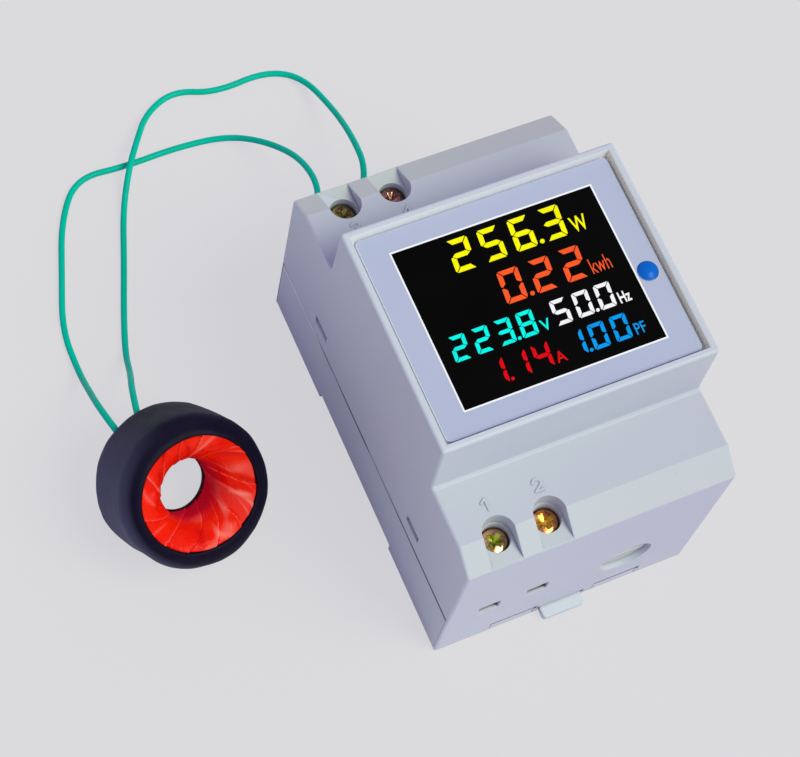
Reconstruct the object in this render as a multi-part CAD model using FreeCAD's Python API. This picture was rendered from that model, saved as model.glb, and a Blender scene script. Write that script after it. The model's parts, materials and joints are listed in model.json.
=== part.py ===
import FreeCAD, Part
import math
import os

V = FreeCAD.Vector

# Millimetres. The meter lies on its back: X runs across its width, Y along its
# length toward terminals 3 and 4, Z out of the display. Heights are measured
# from the back plane while drawing; save() then puts the origin on the rail
# seat, at the middle of the rail.

# housing
width = 61.5
length = 90.0
height = 71.4
side_wall = 2.0
end_wall = 1.8
corner_lap = 0.6
shoulder_wall = 2.0
front_wall = 1.8
block_length = 50.4
skirt_draft = 0.46
shoulder_height = 53.3
end_edge_height = 49.3
chamfer_run = 6.0
seam_height = 20.9
seam_gap = 0.7
profile_round = 0.7
neck_round = 1.0
fit = 0.1

# face: rim, plate, window and button
rim_side = 1.6
rim_end = 1.4
recess_depth = 2.5
recess_draft = 0.35
plate_thickness = 1.0
plate_gap = 0.35
plate_corner = 1.2
window_margin_left = 6.65
window_margin_right = 6.75
window_margin_end = 5.7
window_ledge = 1.0
window_sink = 0.05
button_offset = 2.8
button_y = -3.6
button_diameter = 4.3
button_rise = 0.9
button_gap = 0.12
button_travel = 0.5
button_flange = 1.0
button_flange_reach = 0.9

# display stack under the front wall
lcd_thickness = 2.7
lcd_side_border = 0.35
lcd_end_border = 2.3
tray_height = 5.1
tray_wall = 1.0
light_guide_thickness = 3.0
pin_pitch = 2.0
pin_width = 0.5
pin_thickness = 0.3
board_thickness = 1.6
display_board_gap = 0.5
boss_radius = 2.0
boss_inset_x = 4.85
boss_inset_y = 4.8
boss_screw_radius = 0.8
boss_screw_length = 7.0
boss_screw_head_radius = 1.8
boss_screw_head = 1.2
switch_size = 4.5
switch_height = 3.0
switch_stem_radius = 1.5
switch_cup = 1.9
display_chip_size = 9.0
chip_thickness = 1.4

# boards between the halves
main_board_height = 9.0
main_board_side_gap = 1.55
main_board_end_gap = 2.2
post_radius = 2.4
post_wall_gap = 2.75
post_tail_gap = 5.6
post_screw_radius = 1.1
post_screw_length = 7.5
post_screw_head_radius = 2.1
post_screw_head = 1.5
riser_y = 8.0
riser_width = 34.0
socket_width = 24.0
socket_depth = 5.2
socket_height = 6.5
socket_grip = 4.5
film_capacitor = (18.0, 8.0, 13.0)
film_capacitor_place = (11.0, -13.0)
can_radius = 5.0
can_height = 13.0
can_place = (-14.0, -12.0)
metering_chip = (10.0, 7.6, 2.2)
metering_chip_place = (-4.0, -23.3)
varistor_radius = 5.0
varistor_thickness = 3.6
varistor_place = (-14.0, 21.0)

# terminals: first one's distance from the left side, pitch, distance from the end
terminal_inset = 9.1
terminal_pitch = 11.4
terminal_end_inset = 6.1
pocket_radius = 3.5
pocket_wall = 1.5
pocket_floor_wall = 2.0
screw_head_radius = 2.8
screw_head_height = 2.2
screw_head_sink = 1.5
screw_head_gap = 0.3
screw_radius = 1.5
screw_gap = 0.3
thread_gap = 0.05
thread_pitch = 0.5
tower_wall = 1.5
tower_foot_height = 29.6
recess_slot_width = 0.9
recess_slot_depth = 1.0
entry_width = 5.0
entry_shift = 0.85
entry_lip = 0.7
entry_relief = 0.5
entry_low = 17.6
entry_high = 21.9
bar_low = 21.1
bar_thickness = 1.0
bar_width = 4.8
cage_width = 8.0
cage_length = 5.4
cage_wall = 1.0
cage_roof = 1.2
cage_opening = 6.0
cage_side_gap = 0.2
cage_open_floor = 18.0
cage_closed_floor = 20.15
carrier_wall = 0.8
carrier_inner_wall = 2.9
carrier_top = 29.2
carrier_pit = 16.6
tail_length = 0.8

# digits on the shoulders
digit_height = 3.0
digit_width = 2.3
digit_stroke = 0.5
digit_rise = 0.25
digit_offset = 6.1

# back: rail channel, hooks, clip and the snaps that close the case
base_floor = 2.2
rail_seat_depth = 2.6
rail_width = 35.0
rail_thickness = 1.0
rail_gap = 0.1
rail_clip_room = 2.3
rail_hook_room = 1.5
channel_wall = 2.2
hook_overlap = 1.1
hook_width = 20.0
hook_rail_gap = 0.3
clip_x = -0.4
clip_width = 10.0
clip_thickness = 2.0
clip_skid = 0.2
clip_flange = 1.5
clip_flange_thickness = 1.0
clip_gap = 0.25
clip_protrusion = 2.7
clip_travel = 3.0
clip_roof = 2.0
clip_corner = 0.6
tongue_thickness = 1.1
tongue_rise = 8.6
side_snap_length = 5.7
side_snap_height = 2.5
side_snap_centre = 26.65
side_snap_y = (-24.8, 24.4)
barb_height = 1.3
barb_reach = 1.4
end_snap_width = 10.4
end_snap_height = 3.5
end_snap_slot = 0.45
notch_width = 0.7
notch_height = 1.3
end_snap_insets = (18.55, 17.65)
end_hole_inset = 18.35
end_hole_height = 17.3
end_hole_radius = 6.15
end_hole_depth = 1.4
plug_thickness = 1.2
plug_flange = 0.8

# current transformer: a wound ring in a shrink sleeve, leaning on its leads
ring_radius = 17.0
ring_length = 21.0
ring_shoulder = 4.2
ring_lip = 0.4
ring_mouth_sink = 0.5
ring_bore_radius = 6.25
ring_throat = 5.0
ring_elevation = 51.8
ring_heading = -77.4
ring_x = -70.4
ring_y = 5.1
sleeve_wall = 1.0
tape_wall = 0.5
winding_wall = 1.4
core_round = 1.0

# leads: diameter over the insulation, bare end, and the routes by hand.
# Route heights are above the surface that the meter lies on.
lead_diameter = 1.45
wire_diameter = 0.8
bare_end_inset = 8.2
lead_a_route = [
    (-21.65, 42.6, 20.6), (-21.4, 50.0, 20.6), (-15.6, 58.5, 20.2), (-14.9, 70.0, 14.6),
    (-18.6, 80.8, 6.4), (-25.6, 88.0, 1.0), (-38.0, 89.2, 0.8), (-50.5, 88.6, 0.8),
    (-62.6, 89.6, 0.8), (-69.6, 80.2, 0.8), (-74.4, 67.0, 0.8), (-79.0, 54.5, 0.8),
    (-79.2, 43.0, 1.0), (-79.8, 35.0, 9.0), (-80.4, 27.5, 17.2), (-79.1, 20.4, 19.1),
]
lead_b_route = [
    (-10.25, 42.6, 20.6), (-10.1, 50.3, 20.6), (-3.6, 60.0, 19.8), (-1.8, 71.0, 15.0),
    (-0.6, 83.2, 7.0), (-2.4, 96.8, 1.0), (-10.2, 101.2, 0.8), (-23.5, 99.8, 0.8),
    (-32.8, 103.6, 0.8), (-41.0, 100.0, 1.0), (-46.4, 92.4, 4.0), (-50.6, 86.4, 4.0),
    (-55.3, 78.0, 1.0), (-59.7, 66.0, 0.8), (-64.8, 53.0, 0.8), (-68.0, 43.6, 1.0),
    (-69.8, 36.3, 8.5), (-72.4, 29.2, 17.2), (-73.8, 22.2, 19.6),
]

# places that several pieces share
half_width = width / 2
half_length = length / 2
inner_x = half_width - side_wall
inner_y = half_length - end_wall
block_y = block_length / 2
neck_y = block_y + skirt_draft
block_inner_y = block_y - side_wall
shoulder_inside = shoulder_height - shoulder_wall
chamfer_y = half_length - chamfer_run
rim_x = half_width - rim_side
rim_y = block_y - rim_end
plate_x = rim_x - recess_draft - plate_gap
plate_y = rim_y - recess_draft - plate_gap
recess_floor = height - recess_depth
plate_top = recess_floor + plate_thickness
front_underside = recess_floor - front_wall
window_left = -rim_x + window_margin_left
window_right = rim_x - window_margin_right
window_y = rim_y - window_margin_end
button_x = window_right + button_offset
lcd_left = window_left - lcd_side_border
lcd_right = window_right + lcd_side_border
lcd_y = window_y + lcd_end_border
lcd_top = front_underside - fit
lcd_bottom = lcd_top - lcd_thickness
display_board_top = lcd_bottom - tray_height
display_board_bottom = display_board_top - board_thickness
boss_x = half_width - boss_inset_x
boss_y = block_y - boss_inset_y
main_board_top = main_board_height + board_thickness
terminal_xs = [-half_width + terminal_inset, -half_width + terminal_inset + terminal_pitch]
terminal_y = half_length - terminal_end_inset
carrier_outer_y = inner_y - 0.2
carrier_cavity = cage_length / 2 + cage_side_gap
bar_high = bar_low + bar_thickness
screw_tip_height = bar_high + fit
tail_y = terminal_y - carrier_cavity - carrier_inner_wall - 0.7
post_x = inner_x - post_wall_gap - post_radius
post_y = tail_y - post_tail_gap
channel_low = -rail_width / 2 - rail_clip_room
channel_high = rail_width / 2 + rail_hook_room
end_snap_x = (-half_width + end_snap_insets[0], half_width - end_snap_insets[1])
end_hole_x = half_width - end_hole_inset
rail_play = rail_gap + rail_thickness
hook_top = rail_seat_depth - rail_play
clip_slot_half = clip_width / 2 + clip_gap
base_y = inner_y - fit
lap_y = half_length - corner_lap
tongue_x = inner_x - fit
mouth_radius = ring_radius - ring_shoulder - ring_lip


def box(x0, x1, y0, y1, z0, z1):
    return Part.makeBox(x1 - x0, y1 - y0, z1 - z0, V(x0, y0, z0))


def cylinder(x, y, z0, z1, radius):
    return Part.makeCylinder(radius, z1 - z0, V(x, y, z0))


def prism_x(points, x0, x1):
    """A solid between x0 and x1 from an outline of (y, z) points."""
    ring = [V(x0, y, z) for y, z in points]
    face = Part.Face(Part.makePolygon(ring + ring[:1]))
    return face.extrude(V(x1 - x0, 0, 0))


def frustum(x0, y0, z0, x1, y1, z1):
    """A four-sided solid that is 2*x0 by 2*y0 at z0 and 2*x1 by 2*y1 at z1."""
    rings = []
    for x, y, z in ((x0, y0, z0), (x1, y1, z1)):
        corners = [V(-x, -y, z), V(x, -y, z), V(x, y, z), V(-x, y, z)]
        rings.append(Part.makePolygon(corners + corners[:1]))
    return Part.makeLoft(rings, True, True)


def fused(shapes):
    return shapes[0].fuse(shapes[1:]).removeSplitter()


def solid_of(shape):
    return shape.Solids[0] if len(shape.Solids) == 1 else shape


def round_edges(shape, radius, wanted):
    edges = [edge for edge in shape.Edges if wanted(edge)]
    return shape.makeFillet(radius, edges) if edges else shape


def vertical(edge):
    if len(edge.Vertexes) < 2:
        return False
    a, b = edge.Vertexes[0].Point, edge.Vertexes[-1].Point
    return abs(a.x - b.x) < 1e-6 and abs(a.y - b.y) < 1e-6 and abs(a.z - b.z) > 1e-6


def save(name, shape):
    moved = solid_of(shape.copy())
    moved.translate(V(0, 0, -rail_seat_depth))
    moved.exportStep("parts/" + name + ".step")
    if not moved.isValid():
        print("not valid:", name)
    print(f"{name}: {len(moved.Solids)} solid(s), {moved.Volume:.1f} mm3")


def case_outline():
    """The end view shared by the whole housing, before rounding."""
    side = [
        (half_length, 0), (half_length, end_edge_height), (chamfer_y, shoulder_height),
        (neck_y, shoulder_height), (block_y, height),
    ]
    return side + [(-y, z) for y, z in reversed(side)]


def case_cavity():
    side = [
        (inner_y, -1), (inner_y, end_edge_height - shoulder_wall / 2),
        (chamfer_y, shoulder_inside), (block_inner_y, shoulder_inside),
        (block_inner_y, front_underside),
    ]
    return side + [(-y, z) for y, z in reversed(side)]


def rounded_case():
    body = prism_x(case_outline(), -half_width, half_width)

    def on_side(edge):
        box_ = edge.BoundBox
        flat = box_.XLength < 1e-6 and abs(abs(box_.Center.x) - half_width) < 1e-6
        return flat and box_.ZMax > 1e-6

    def rim_end_edge(edge):
        box_ = edge.BoundBox
        return box_.XLength > width - 1 and box_.ZMin > height - 1e-6

    def neck_edge(edge):
        box_ = edge.BoundBox
        at_neck = abs(abs(box_.Center.y) - neck_y) < 1e-3
        return box_.XLength > width - 1 and at_neck and box_.ZMax < height - 1

    body = round_edges(body, neck_round, neck_edge)
    body = round_edges(body, profile_round, lambda e: on_side(e) or rim_end_edge(e))
    return body


def digit_strokes(digit):
    """Strokes of a plain digit in a cell of half width w and half height h."""
    w = (digit_width - digit_stroke) / 2
    h = (digit_height - digit_stroke) / 2
    corners = {
        "1": [(-w * 1.1, h * 0.4), (0, h), (0, -h)],
        "2": [(-w, h * 0.5), (-w * 0.55, h * 0.92), (0.1 * w, h), (w * 0.75, h * 0.8),
              (w, h * 0.35), (w * 0.7, -h * 0.12), (-w, -h), (w, -h)],
        "3": [(-w, h * 0.65), (-w * 0.45, h), (w * 0.45, h), (w * 0.9, h * 0.6),
              (w * 0.6, h * 0.15), (-w * 0.1, 0), (w * 0.6, -h * 0.12), (w, -h * 0.55),
              (w * 0.45, -h), (-w * 0.45, -h), (-w, -h * 0.65)],
        "4": [(w * 0.8, -h), (w * 0.8, h), (-w * 0.7, -h * 0.35), (w * 1.2, -h * 0.35)],
    }
    return corners[digit]


def digit(text, x, y):
    points = digit_strokes(text)
    half = digit_stroke / 2
    low, high = shoulder_height - 0.2, shoulder_height + digit_rise
    bars = []
    for (x0, y0), (x1, y1) in zip(points, points[1:]):
        reach = math.hypot(x1 - x0, y1 - y0)
        bar = box(0, reach, -half, half, low, high)
        bar.rotate(V(0, 0, 0), V(0, 0, 1), math.degrees(math.atan2(y1 - y0, x1 - x0)))
        bar.translate(V(x + x0, y + y0, 0))
        bars += [bar, cylinder(x + x1, y + y1, low, high, half)]
    bars.append(cylinder(x + points[0][0], y + points[0][1], low, high, half))
    return fused(bars)


def terminal_places():
    """Number, x, sign of y and y of each terminal."""
    places = []
    for sign, numbers in ((-1, (1, 2)), (1, (3, 4))):
        for x, number in zip(terminal_xs, numbers):
            places.append((number, x, sign, sign * terminal_y))
    return places


def pocket_tools(x, sign, y):
    """What a terminal adds to the housing and what it cuts away."""
    outer = pocket_radius + pocket_wall
    floor = end_edge_height - pocket_floor_wall
    end = sign * (half_length - end_wall / 2)
    cup = [
        cylinder(x, y, floor, shoulder_inside + 0.5, outer),
        box(x - outer, x + outer, min(y, end), max(y, end), floor, end_edge_height),
    ]
    counterbore = screw_head_radius + screw_head_gap
    seat = end_edge_height - screw_head_sink - screw_head_height
    cup.append(cylinder(x, y, seat - pocket_floor_wall, floor + 0.5, counterbore + tower_wall))
    shaft = screw_radius + screw_gap
    cup.append(cylinder(x, y, tower_foot_height, seat, shaft + tower_wall))
    wall_side = sign * (inner_y + end_wall / 2)
    rib = sorted((y + sign * (shaft + tower_wall / 2), wall_side))
    cup.append(box(x - 0.7, x + 0.7, rib[0], rib[1], tower_foot_height, floor + 0.5))
    far = sign * (half_length + 1)
    cuts = [
        cylinder(x, y, end_edge_height, shoulder_height + 1, pocket_radius),
        box(x - pocket_radius, x + pocket_radius, min(y, far), max(y, far),
            end_edge_height, shoulder_height + 1),
        cylinder(x, y, seat - fit, end_edge_height + 1, counterbore),
        cylinder(x, y, tower_foot_height - 1, seat, shaft),
    ]
    near = sign * (inner_y - 0.5)
    lip = sign * (half_length - entry_lip)
    middle = x + entry_shift
    half = entry_width / 2
    cuts.append(box(middle - half, middle + half, min(near, far), max(near, far),
                    entry_low, entry_high))
    half += entry_relief
    cuts.append(box(middle - half, middle + half, min(near, lip), max(near, lip),
                    entry_low - entry_relief, entry_high + entry_relief))
    return cup, cuts


def front_housing():
    body = rounded_case()
    body = body.cut(prism_x(case_cavity(), -inner_x, inner_x))
    # below the seam the sides belong to the rear half; the end walls run on down
    for sign in (-1, 1):
        x0, x1 = sorted((sign * (inner_x - 1), sign * (half_width + 1)))
        body = body.cut(box(x0, x1, -inner_y, inner_y, -1, seam_height))
        # the end walls are thin where they lap over the ends of the sides
        x0, x1 = sorted((sign * (inner_x - fit), sign * (half_width + 1)))
        body = body.cut(box(x0, x1, -lap_y, lap_y, -1, seam_height))
    adds = []
    cuts = []
    cups = []
    for number, x, sign, y in terminal_places():
        cup, holes = pocket_tools(x, sign, y)
        cups += cup
        cuts += holes
        adds.append(digit(str(number), x, sign * (terminal_y - digit_offset)))
    adds.append(fused(cups).common(rounded_case()))
    for sx in (-1, 1):
        for sy in (-1, 1):
            place = (sx * boss_x, sy * boss_y)
            adds.append(cylinder(*place, display_board_top, front_underside + 0.5, boss_radius))
            cuts.append(cylinder(*place, display_board_top - 1,
                                 display_board_bottom + boss_screw_length,
                                 boss_screw_radius + 0.03))
    back_of_hole = half_length - end_hole_depth - plug_thickness - fit
    hole_axis = V(0, 1, 0)
    rim = Part.makeCylinder(end_hole_radius + 1.2, half_length - 0.9 - back_of_hole,
                            V(end_hole_x, -half_length + 0.9, end_hole_height), hole_axis)
    adds.append(rim)
    cuts.append(Part.makeCylinder(end_hole_radius, end_hole_depth + 5,
                                  V(end_hole_x, -half_length - 1, end_hole_height), hole_axis))
    # recess with a slightly tapered wall, then the two openings in its floor
    over = recess_draft * 0.5 / recess_depth
    cuts.append(frustum(rim_x - recess_draft, rim_y - recess_draft, recess_floor,
                        rim_x + over, rim_y + over, height + 0.5))
    cuts.append(box(window_left + window_ledge, window_right - window_ledge,
                    -window_y + window_ledge, window_y - window_ledge,
                    front_underside - 1, recess_floor + 1))
    cuts.append(cylinder(button_x, button_y, front_underside - 1, recess_floor + 1,
                         button_diameter / 2 + button_gap))
    # slots for the snaps of the rear half and the notch for the clip
    slot_half = side_snap_length / 2 + fit
    for y in side_snap_y:
        for sign in (-1, 1):
            x0, x1 = sorted((sign * (inner_x - 1), sign * (half_width + 1)))
            cuts.append(box(x0, x1, y - slot_half, y + slot_half,
                            side_snap_centre - side_snap_height / 2,
                            side_snap_centre + side_snap_height / 2))
    for sign in (-1, 1):
        y0, y1 = sorted((sign * (inner_y - 1), sign * (half_length + 1)))
        for x in end_snap_x:
            half = end_snap_width / 2 + fit
            slot_top = end_snap_height + end_snap_slot
            cuts.append(box(x - half, x + half, y0, y1, -1, slot_top))
            cuts.append(box(x + half - 0.1, x + half + notch_width, y0, y1,
                            slot_top - notch_height, slot_top))
    cuts.append(box(clip_x - clip_slot_half, clip_x + clip_slot_half, -half_length - 1,
                    -inner_y + 1, -1, clip_skid + clip_thickness + clip_gap))
    roof = clip_skid + clip_thickness + clip_gap + 0.2
    cuts.append(box(clip_x + clip_slot_half - 0.1, clip_x + clip_slot_half + notch_width,
                    -half_length - 1, -inner_y + 1, roof - notch_height, roof))
    body = fused([body] + adds)
    for cut in cuts:
        body = body.cut(cut)
    return body.removeSplitter()


def rear_base():
    floor = box(-inner_x, inner_x, -base_y, base_y, 0, base_floor)
    parts = [floor]
    for sign in (-1, 1):
        x0, x1 = sorted((sign * (inner_x - 0.5), sign * half_width))
        parts.append(box(x0, x1, -base_y, base_y, 0, seam_height - seam_gap))
        x0, x1 = sorted((sign * inner_x, sign * half_width))
        parts.append(box(x0, x1, -lap_y + fit, lap_y - fit, 0, seam_height - seam_gap))
        x0, x1 = sorted((sign * (tongue_x - tongue_thickness), sign * tongue_x))
        parts.append(box(x0, x1, channel_low - 10, channel_high + 10, 1,
                         seam_height + tongue_rise))
        for y in side_snap_y:
            x0, x1 = sorted((sign * (tongue_x - 0.3), sign * (tongue_x + barb_reach)))
            barb_low = side_snap_centre - side_snap_height / 2 + fit
            parts.append(box(x0, x1, y - side_snap_length / 2, y + side_snap_length / 2,
                             barb_low, barb_low + barb_height))
        y0, y1 = sorted((sign * (base_y - 0.5), sign * half_length))
        for x in end_snap_x:
            parts.append(box(x - end_snap_width / 2, x + end_snap_width / 2, y0, y1,
                             0, end_snap_height))
        for sy in (-1, 1):
            parts.append(cylinder(sign * post_x, sy * post_y, 1, main_board_height, post_radius))
    # the channel's seat and its two step walls
    low = channel_low - channel_wall
    high = channel_high + channel_wall
    parts.append(box(-inner_x, inner_x, low, high, 0, rail_seat_depth + base_floor))
    roof_low = clip_skid + clip_thickness + clip_gap
    roof_x = clip_slot_half + clip_flange + 2
    parts.append(box(clip_x - roof_x, clip_x + roof_x, -base_y, channel_low, 0,
                     roof_low + clip_roof))
    body = fused(parts)
    body = round_edges(body, profile_round, lambda e: long_bottom_edge(e))
    cuts = [box(-half_width - 1, half_width + 1, channel_low, channel_high, -1, rail_seat_depth)]
    for sx in (-1, 1):
        for sy in (-1, 1):
            cuts.append(cylinder(sx * post_x, sy * post_y,
                                 main_board_top - post_screw_length - 0.3,
                                 main_board_height + 1, post_screw_radius + 0.03))
    # stepped slot that keeps the clip from dropping out of the back
    cuts.append(box(clip_x - clip_slot_half, clip_x + clip_slot_half, -half_length - 1,
                    channel_low + 1, -1, roof_low))
    flange_half = clip_slot_half + clip_flange
    flange_low = clip_skid + clip_thickness - clip_flange_thickness - clip_gap
    cuts.append(box(clip_x - flange_half, clip_x + flange_half, -half_length - 1,
                    channel_low - channel_wall + fit, flange_low, roof_low))
    for cut in cuts:
        body = body.cut(cut)
    # fixed hook across the far edge of the rail
    pocket_y = rail_width / 2 + hook_rail_gap
    lip_y = rail_width / 2 - hook_overlap
    hook = [
        box(clip_x - hook_width / 2, clip_x + hook_width / 2, pocket_y, channel_high + 0.5,
            0, rail_seat_depth + 0.5),
        prism_x([(lip_y + 0.5, 0), (pocket_y + 0.5, 0), (pocket_y + 0.5, hook_top),
                 (lip_y, hook_top), (lip_y, 0.5)],
                clip_x - hook_width / 2, clip_x + hook_width / 2),
    ]
    return fused([body] + hook)


def long_bottom_edge(edge):
    box_ = edge.BoundBox
    outer = abs(abs(box_.Center.x) - half_width) < 1e-6
    return outer and box_.YLength > length / 2 and box_.ZMax < 1e-6


def din_clip():
    half = clip_width / 2
    low = clip_skid
    top = clip_skid + clip_thickness
    outer = -half_length - clip_protrusion
    inner = channel_low - channel_wall
    nose = -rail_width / 2 + hook_overlap
    plate = box(clip_x - half, clip_x + half, outer, inner, low, top)
    plate = round_edges(plate, clip_corner,
                        lambda e: vertical(e) and e.BoundBox.YMax < outer + 0.1)
    flange = half + clip_flange
    rails = box(clip_x - flange, clip_x + flange, -base_y + 1 + clip_travel,
                inner - clip_gap, top - clip_flange_thickness, top)
    tip = prism_x([(inner - 0.5, low), (nose - 0.6, low), (nose, low + 0.5), (nose, hook_top),
                   (channel_low + clip_gap, hook_top), (channel_low + clip_gap, top - 0.4),
                   (inner - 0.5, top - 0.4)], clip_x - half, clip_x + half)
    return fused([plate, rails, tip])


def face_plate():
    plate = box(-plate_x, plate_x, -plate_y, plate_y, recess_floor, plate_top)
    plate = round_edges(plate, plate_corner, vertical)
    plate = plate.cut(box(window_left, window_right, -window_y, window_y,
                          recess_floor - 1, plate_top + 1))
    plate = plate.cut(cylinder(button_x, button_y, recess_floor - 1, plate_top + 1,
                               button_diameter / 2 + button_gap))
    return plate


def display_window():
    return box(window_left + fit / 2, window_right - fit / 2, -window_y + fit / 2,
               window_y - fit / 2, recess_floor, plate_top - window_sink)


def lcd_panel():
    return box(lcd_left, lcd_right, -lcd_y, lcd_y, lcd_bottom, lcd_top)


def backlight_tray():
    x0, x1 = lcd_left + 0.2, lcd_right - 0.2
    y1 = lcd_y - 1.6
    tray = box(x0, x1, -y1, y1, display_board_top, lcd_bottom)
    hollow = box(x0 + tray_wall, x1 - tray_wall, -y1 + tray_wall, y1 - tray_wall,
                 lcd_bottom - light_guide_thickness, lcd_bottom + 1)
    return tray.cut(hollow)


def light_guide():
    inset = 0.2 + tray_wall + fit / 2
    y1 = lcd_y - 1.6 - tray_wall - fit / 2
    return box(lcd_left + inset, lcd_right - inset, -y1, y1,
               lcd_bottom - light_guide_thickness, lcd_bottom)


def lcd_pins():
    count = int((lcd_right - lcd_left - 4) / pin_pitch)
    start = (lcd_left + lcd_right) / 2 - (count - 1) * pin_pitch / 2
    pins = []
    for sign in (-1, 1):
        y = sign * (lcd_y - 0.8)
        for i in range(count):
            x = start + i * pin_pitch
            pins.append(box(x - pin_width / 2, x + pin_width / 2, y - pin_thickness / 2,
                            y + pin_thickness / 2, display_board_top, lcd_bottom))
    return Part.Compound(pins)


def display_board():
    x = inner_x - display_board_gap
    y = block_inner_y - display_board_gap
    board = box(-x, x, -y, y, display_board_bottom, display_board_top)
    for sx in (-1, 1):
        for sy in (-1, 1):
            board = board.cut(cylinder(sx * boss_x, sy * boss_y, display_board_bottom - 1,
                                       display_board_top + 1, boss_screw_radius + 0.2))
    return board


def screw(x, y, seat, up, radius, length_, head_radius, head):
    """A small self-tapping screw whose head bears on seat; up is the way it points."""
    shank = Part.makeCylinder(radius, length_, V(x, y, seat), V(0, 0, up))
    top = Part.makeCylinder(head_radius, head, V(x, y, seat), V(0, 0, -up))
    edge_z = seat - up * head
    body = top.fuse(shank).removeSplitter()
    body = round_edges(body, min(0.4, head / 3), lambda e: abs(e.BoundBox.ZMax - edge_z) < 1e-6
                       and e.BoundBox.ZLength < 1e-6)
    slot_low = min(edge_z, edge_z + up * head / 2)
    slot = box(x - head_radius * 0.6, x + head_radius * 0.6, y - 0.2, y + 0.2,
               slot_low, slot_low + head / 2)
    cross = box(x - 0.2, x + 0.2, y - head_radius * 0.6, y + head_radius * 0.6,
                slot_low, slot_low + head / 2)
    return body.cut(slot).cut(cross)


def display_board_screws():
    return Part.Compound([
        screw(sx * boss_x, sy * boss_y, display_board_bottom, 1, boss_screw_radius,
              boss_screw_length - 0.5, boss_screw_head_radius, boss_screw_head)
        for sx in (-1, 1) for sy in (-1, 1)
    ])


def main_board_screws():
    return Part.Compound([
        screw(sx * post_x, sy * post_y, main_board_top, -1, post_screw_radius,
              post_screw_length, post_screw_head_radius, post_screw_head)
        for sx in (-1, 1) for sy in (-1, 1)
    ])


def switch_body():
    half = switch_size / 2
    body = box(button_x - half, button_x + half, button_y - half, button_y + half,
               display_board_top, display_board_top + switch_height)
    return body.cut(cylinder(button_x, button_y, display_board_top + switch_height - switch_cup,
                             display_board_top + switch_height + 1, switch_stem_radius + fit))


def stem_top():
    return display_board_top + switch_height + button_travel + 0.9


def switch_stem():
    low = display_board_top + switch_height - switch_cup + button_travel + 0.3
    return cylinder(button_x, button_y, low, stem_top(), switch_stem_radius)


def reset_button():
    radius = button_diameter / 2
    flange_top = front_underside - fit
    dome = plate_top + button_rise
    barrel_top = plate_top + 0.15
    bulge = (radius ** 2 + (dome - barrel_top) ** 2) / (2 * (dome - barrel_top))
    ball = Part.makeSphere(bulge, V(button_x, button_y, dome - bulge))
    barrel = cylinder(button_x, button_y, flange_top - button_flange, dome + 1, radius)
    cap = barrel.common(ball.fuse(cylinder(button_x, button_y, flange_top - button_flange,
                                           barrel_top, radius + 1)))
    reach = radius + button_flange_reach
    flange = cylinder(button_x, button_y, flange_top - button_flange, flange_top, reach)
    flange = flange.common(box(button_x - radius, button_x + radius, button_y - reach,
                               button_y + reach, flange_top - button_flange, flange_top))
    stalk = cylinder(button_x, button_y, stem_top(), flange_top, switch_stem_radius * 0.8)
    return fused([cap, flange, stalk])


def display_chip():
    half = display_chip_size / 2
    x, y = lcd_left / 3, -lcd_y / 3
    return box(x - half, x + half, y - half, y + half, display_board_bottom - chip_thickness,
               display_board_bottom)


def socket(z0, z1, slot_low, slot_high):
    mid = riser_y + board_thickness / 2
    body = box(-socket_width / 2, socket_width / 2, mid - socket_depth / 2,
               mid + socket_depth / 2, z0, z1)
    return body.cut(box(-socket_width / 2 + 1.2, socket_width / 2 - 1.2, riser_y - fit / 2,
                        riser_y + board_thickness + fit / 2, slot_low, slot_high))


def riser_socket():
    low = display_board_bottom - socket_height
    return socket(low, display_board_bottom, low - 1, low + socket_grip)


def riser_header():
    top = main_board_top + socket_height
    return socket(main_board_top, top, top - socket_grip, top + 1)


def riser_board():
    low = main_board_top + socket_height - socket_grip
    high = display_board_bottom - socket_height + socket_grip
    half = riser_width / 2
    tongue = socket_width / 2 - 1.3
    shoulder_low = main_board_top + socket_height
    shoulder_high = display_board_bottom - socket_height
    board = box(-half, half, riser_y, riser_y + board_thickness, shoulder_low, shoulder_high)
    tabs = box(-tongue, tongue, riser_y, riser_y + board_thickness, low, high)
    return fused([board, tabs])


def main_board():
    x = inner_x - main_board_side_gap
    y = inner_y - main_board_end_gap
    board = box(-x, x, -y, y, main_board_height, main_board_top)
    for sx in (-1, 1):
        for sy in (-1, 1):
            board = board.cut(cylinder(sx * post_x, sy * post_y, main_board_height - 1,
                                       main_board_top + 1, post_screw_radius + 0.2))
    for number, x, sign, y in terminal_places():
        tail = sign * tail_y
        half = bar_width / 2 + 0.2
        board = board.cut(box(x - half, x + half, tail - bar_thickness / 2 - 0.2,
                              tail + bar_thickness / 2 + 0.2, main_board_height - 1,
                              main_board_top + 1))
    return board


def on_board(size, place):
    x, y = place
    return box(x - size[0] / 2, x + size[0] / 2, y - size[1] / 2, y + size[1] / 2,
               main_board_top, main_board_top + size[2])


def filter_capacitor():
    x, y = can_place
    can = cylinder(x, y, main_board_top, main_board_top + can_height, can_radius)
    return round_edges(can, 0.6, lambda e: e.BoundBox.ZMin > main_board_top + 1
                       and e.BoundBox.ZLength < 1e-6)


def varistor():
    x, y = varistor_place
    disc = Part.makeCylinder(varistor_radius, varistor_thickness,
                             V(x, y - varistor_thickness / 2, main_board_top + varistor_radius),
                             V(0, 1, 0))
    foot = box(x - varistor_radius / 2, x + varistor_radius / 2, y - varistor_thickness / 2,
               y + varistor_thickness / 2, main_board_top, main_board_top + varistor_radius)
    return fused([disc, foot])


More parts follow.
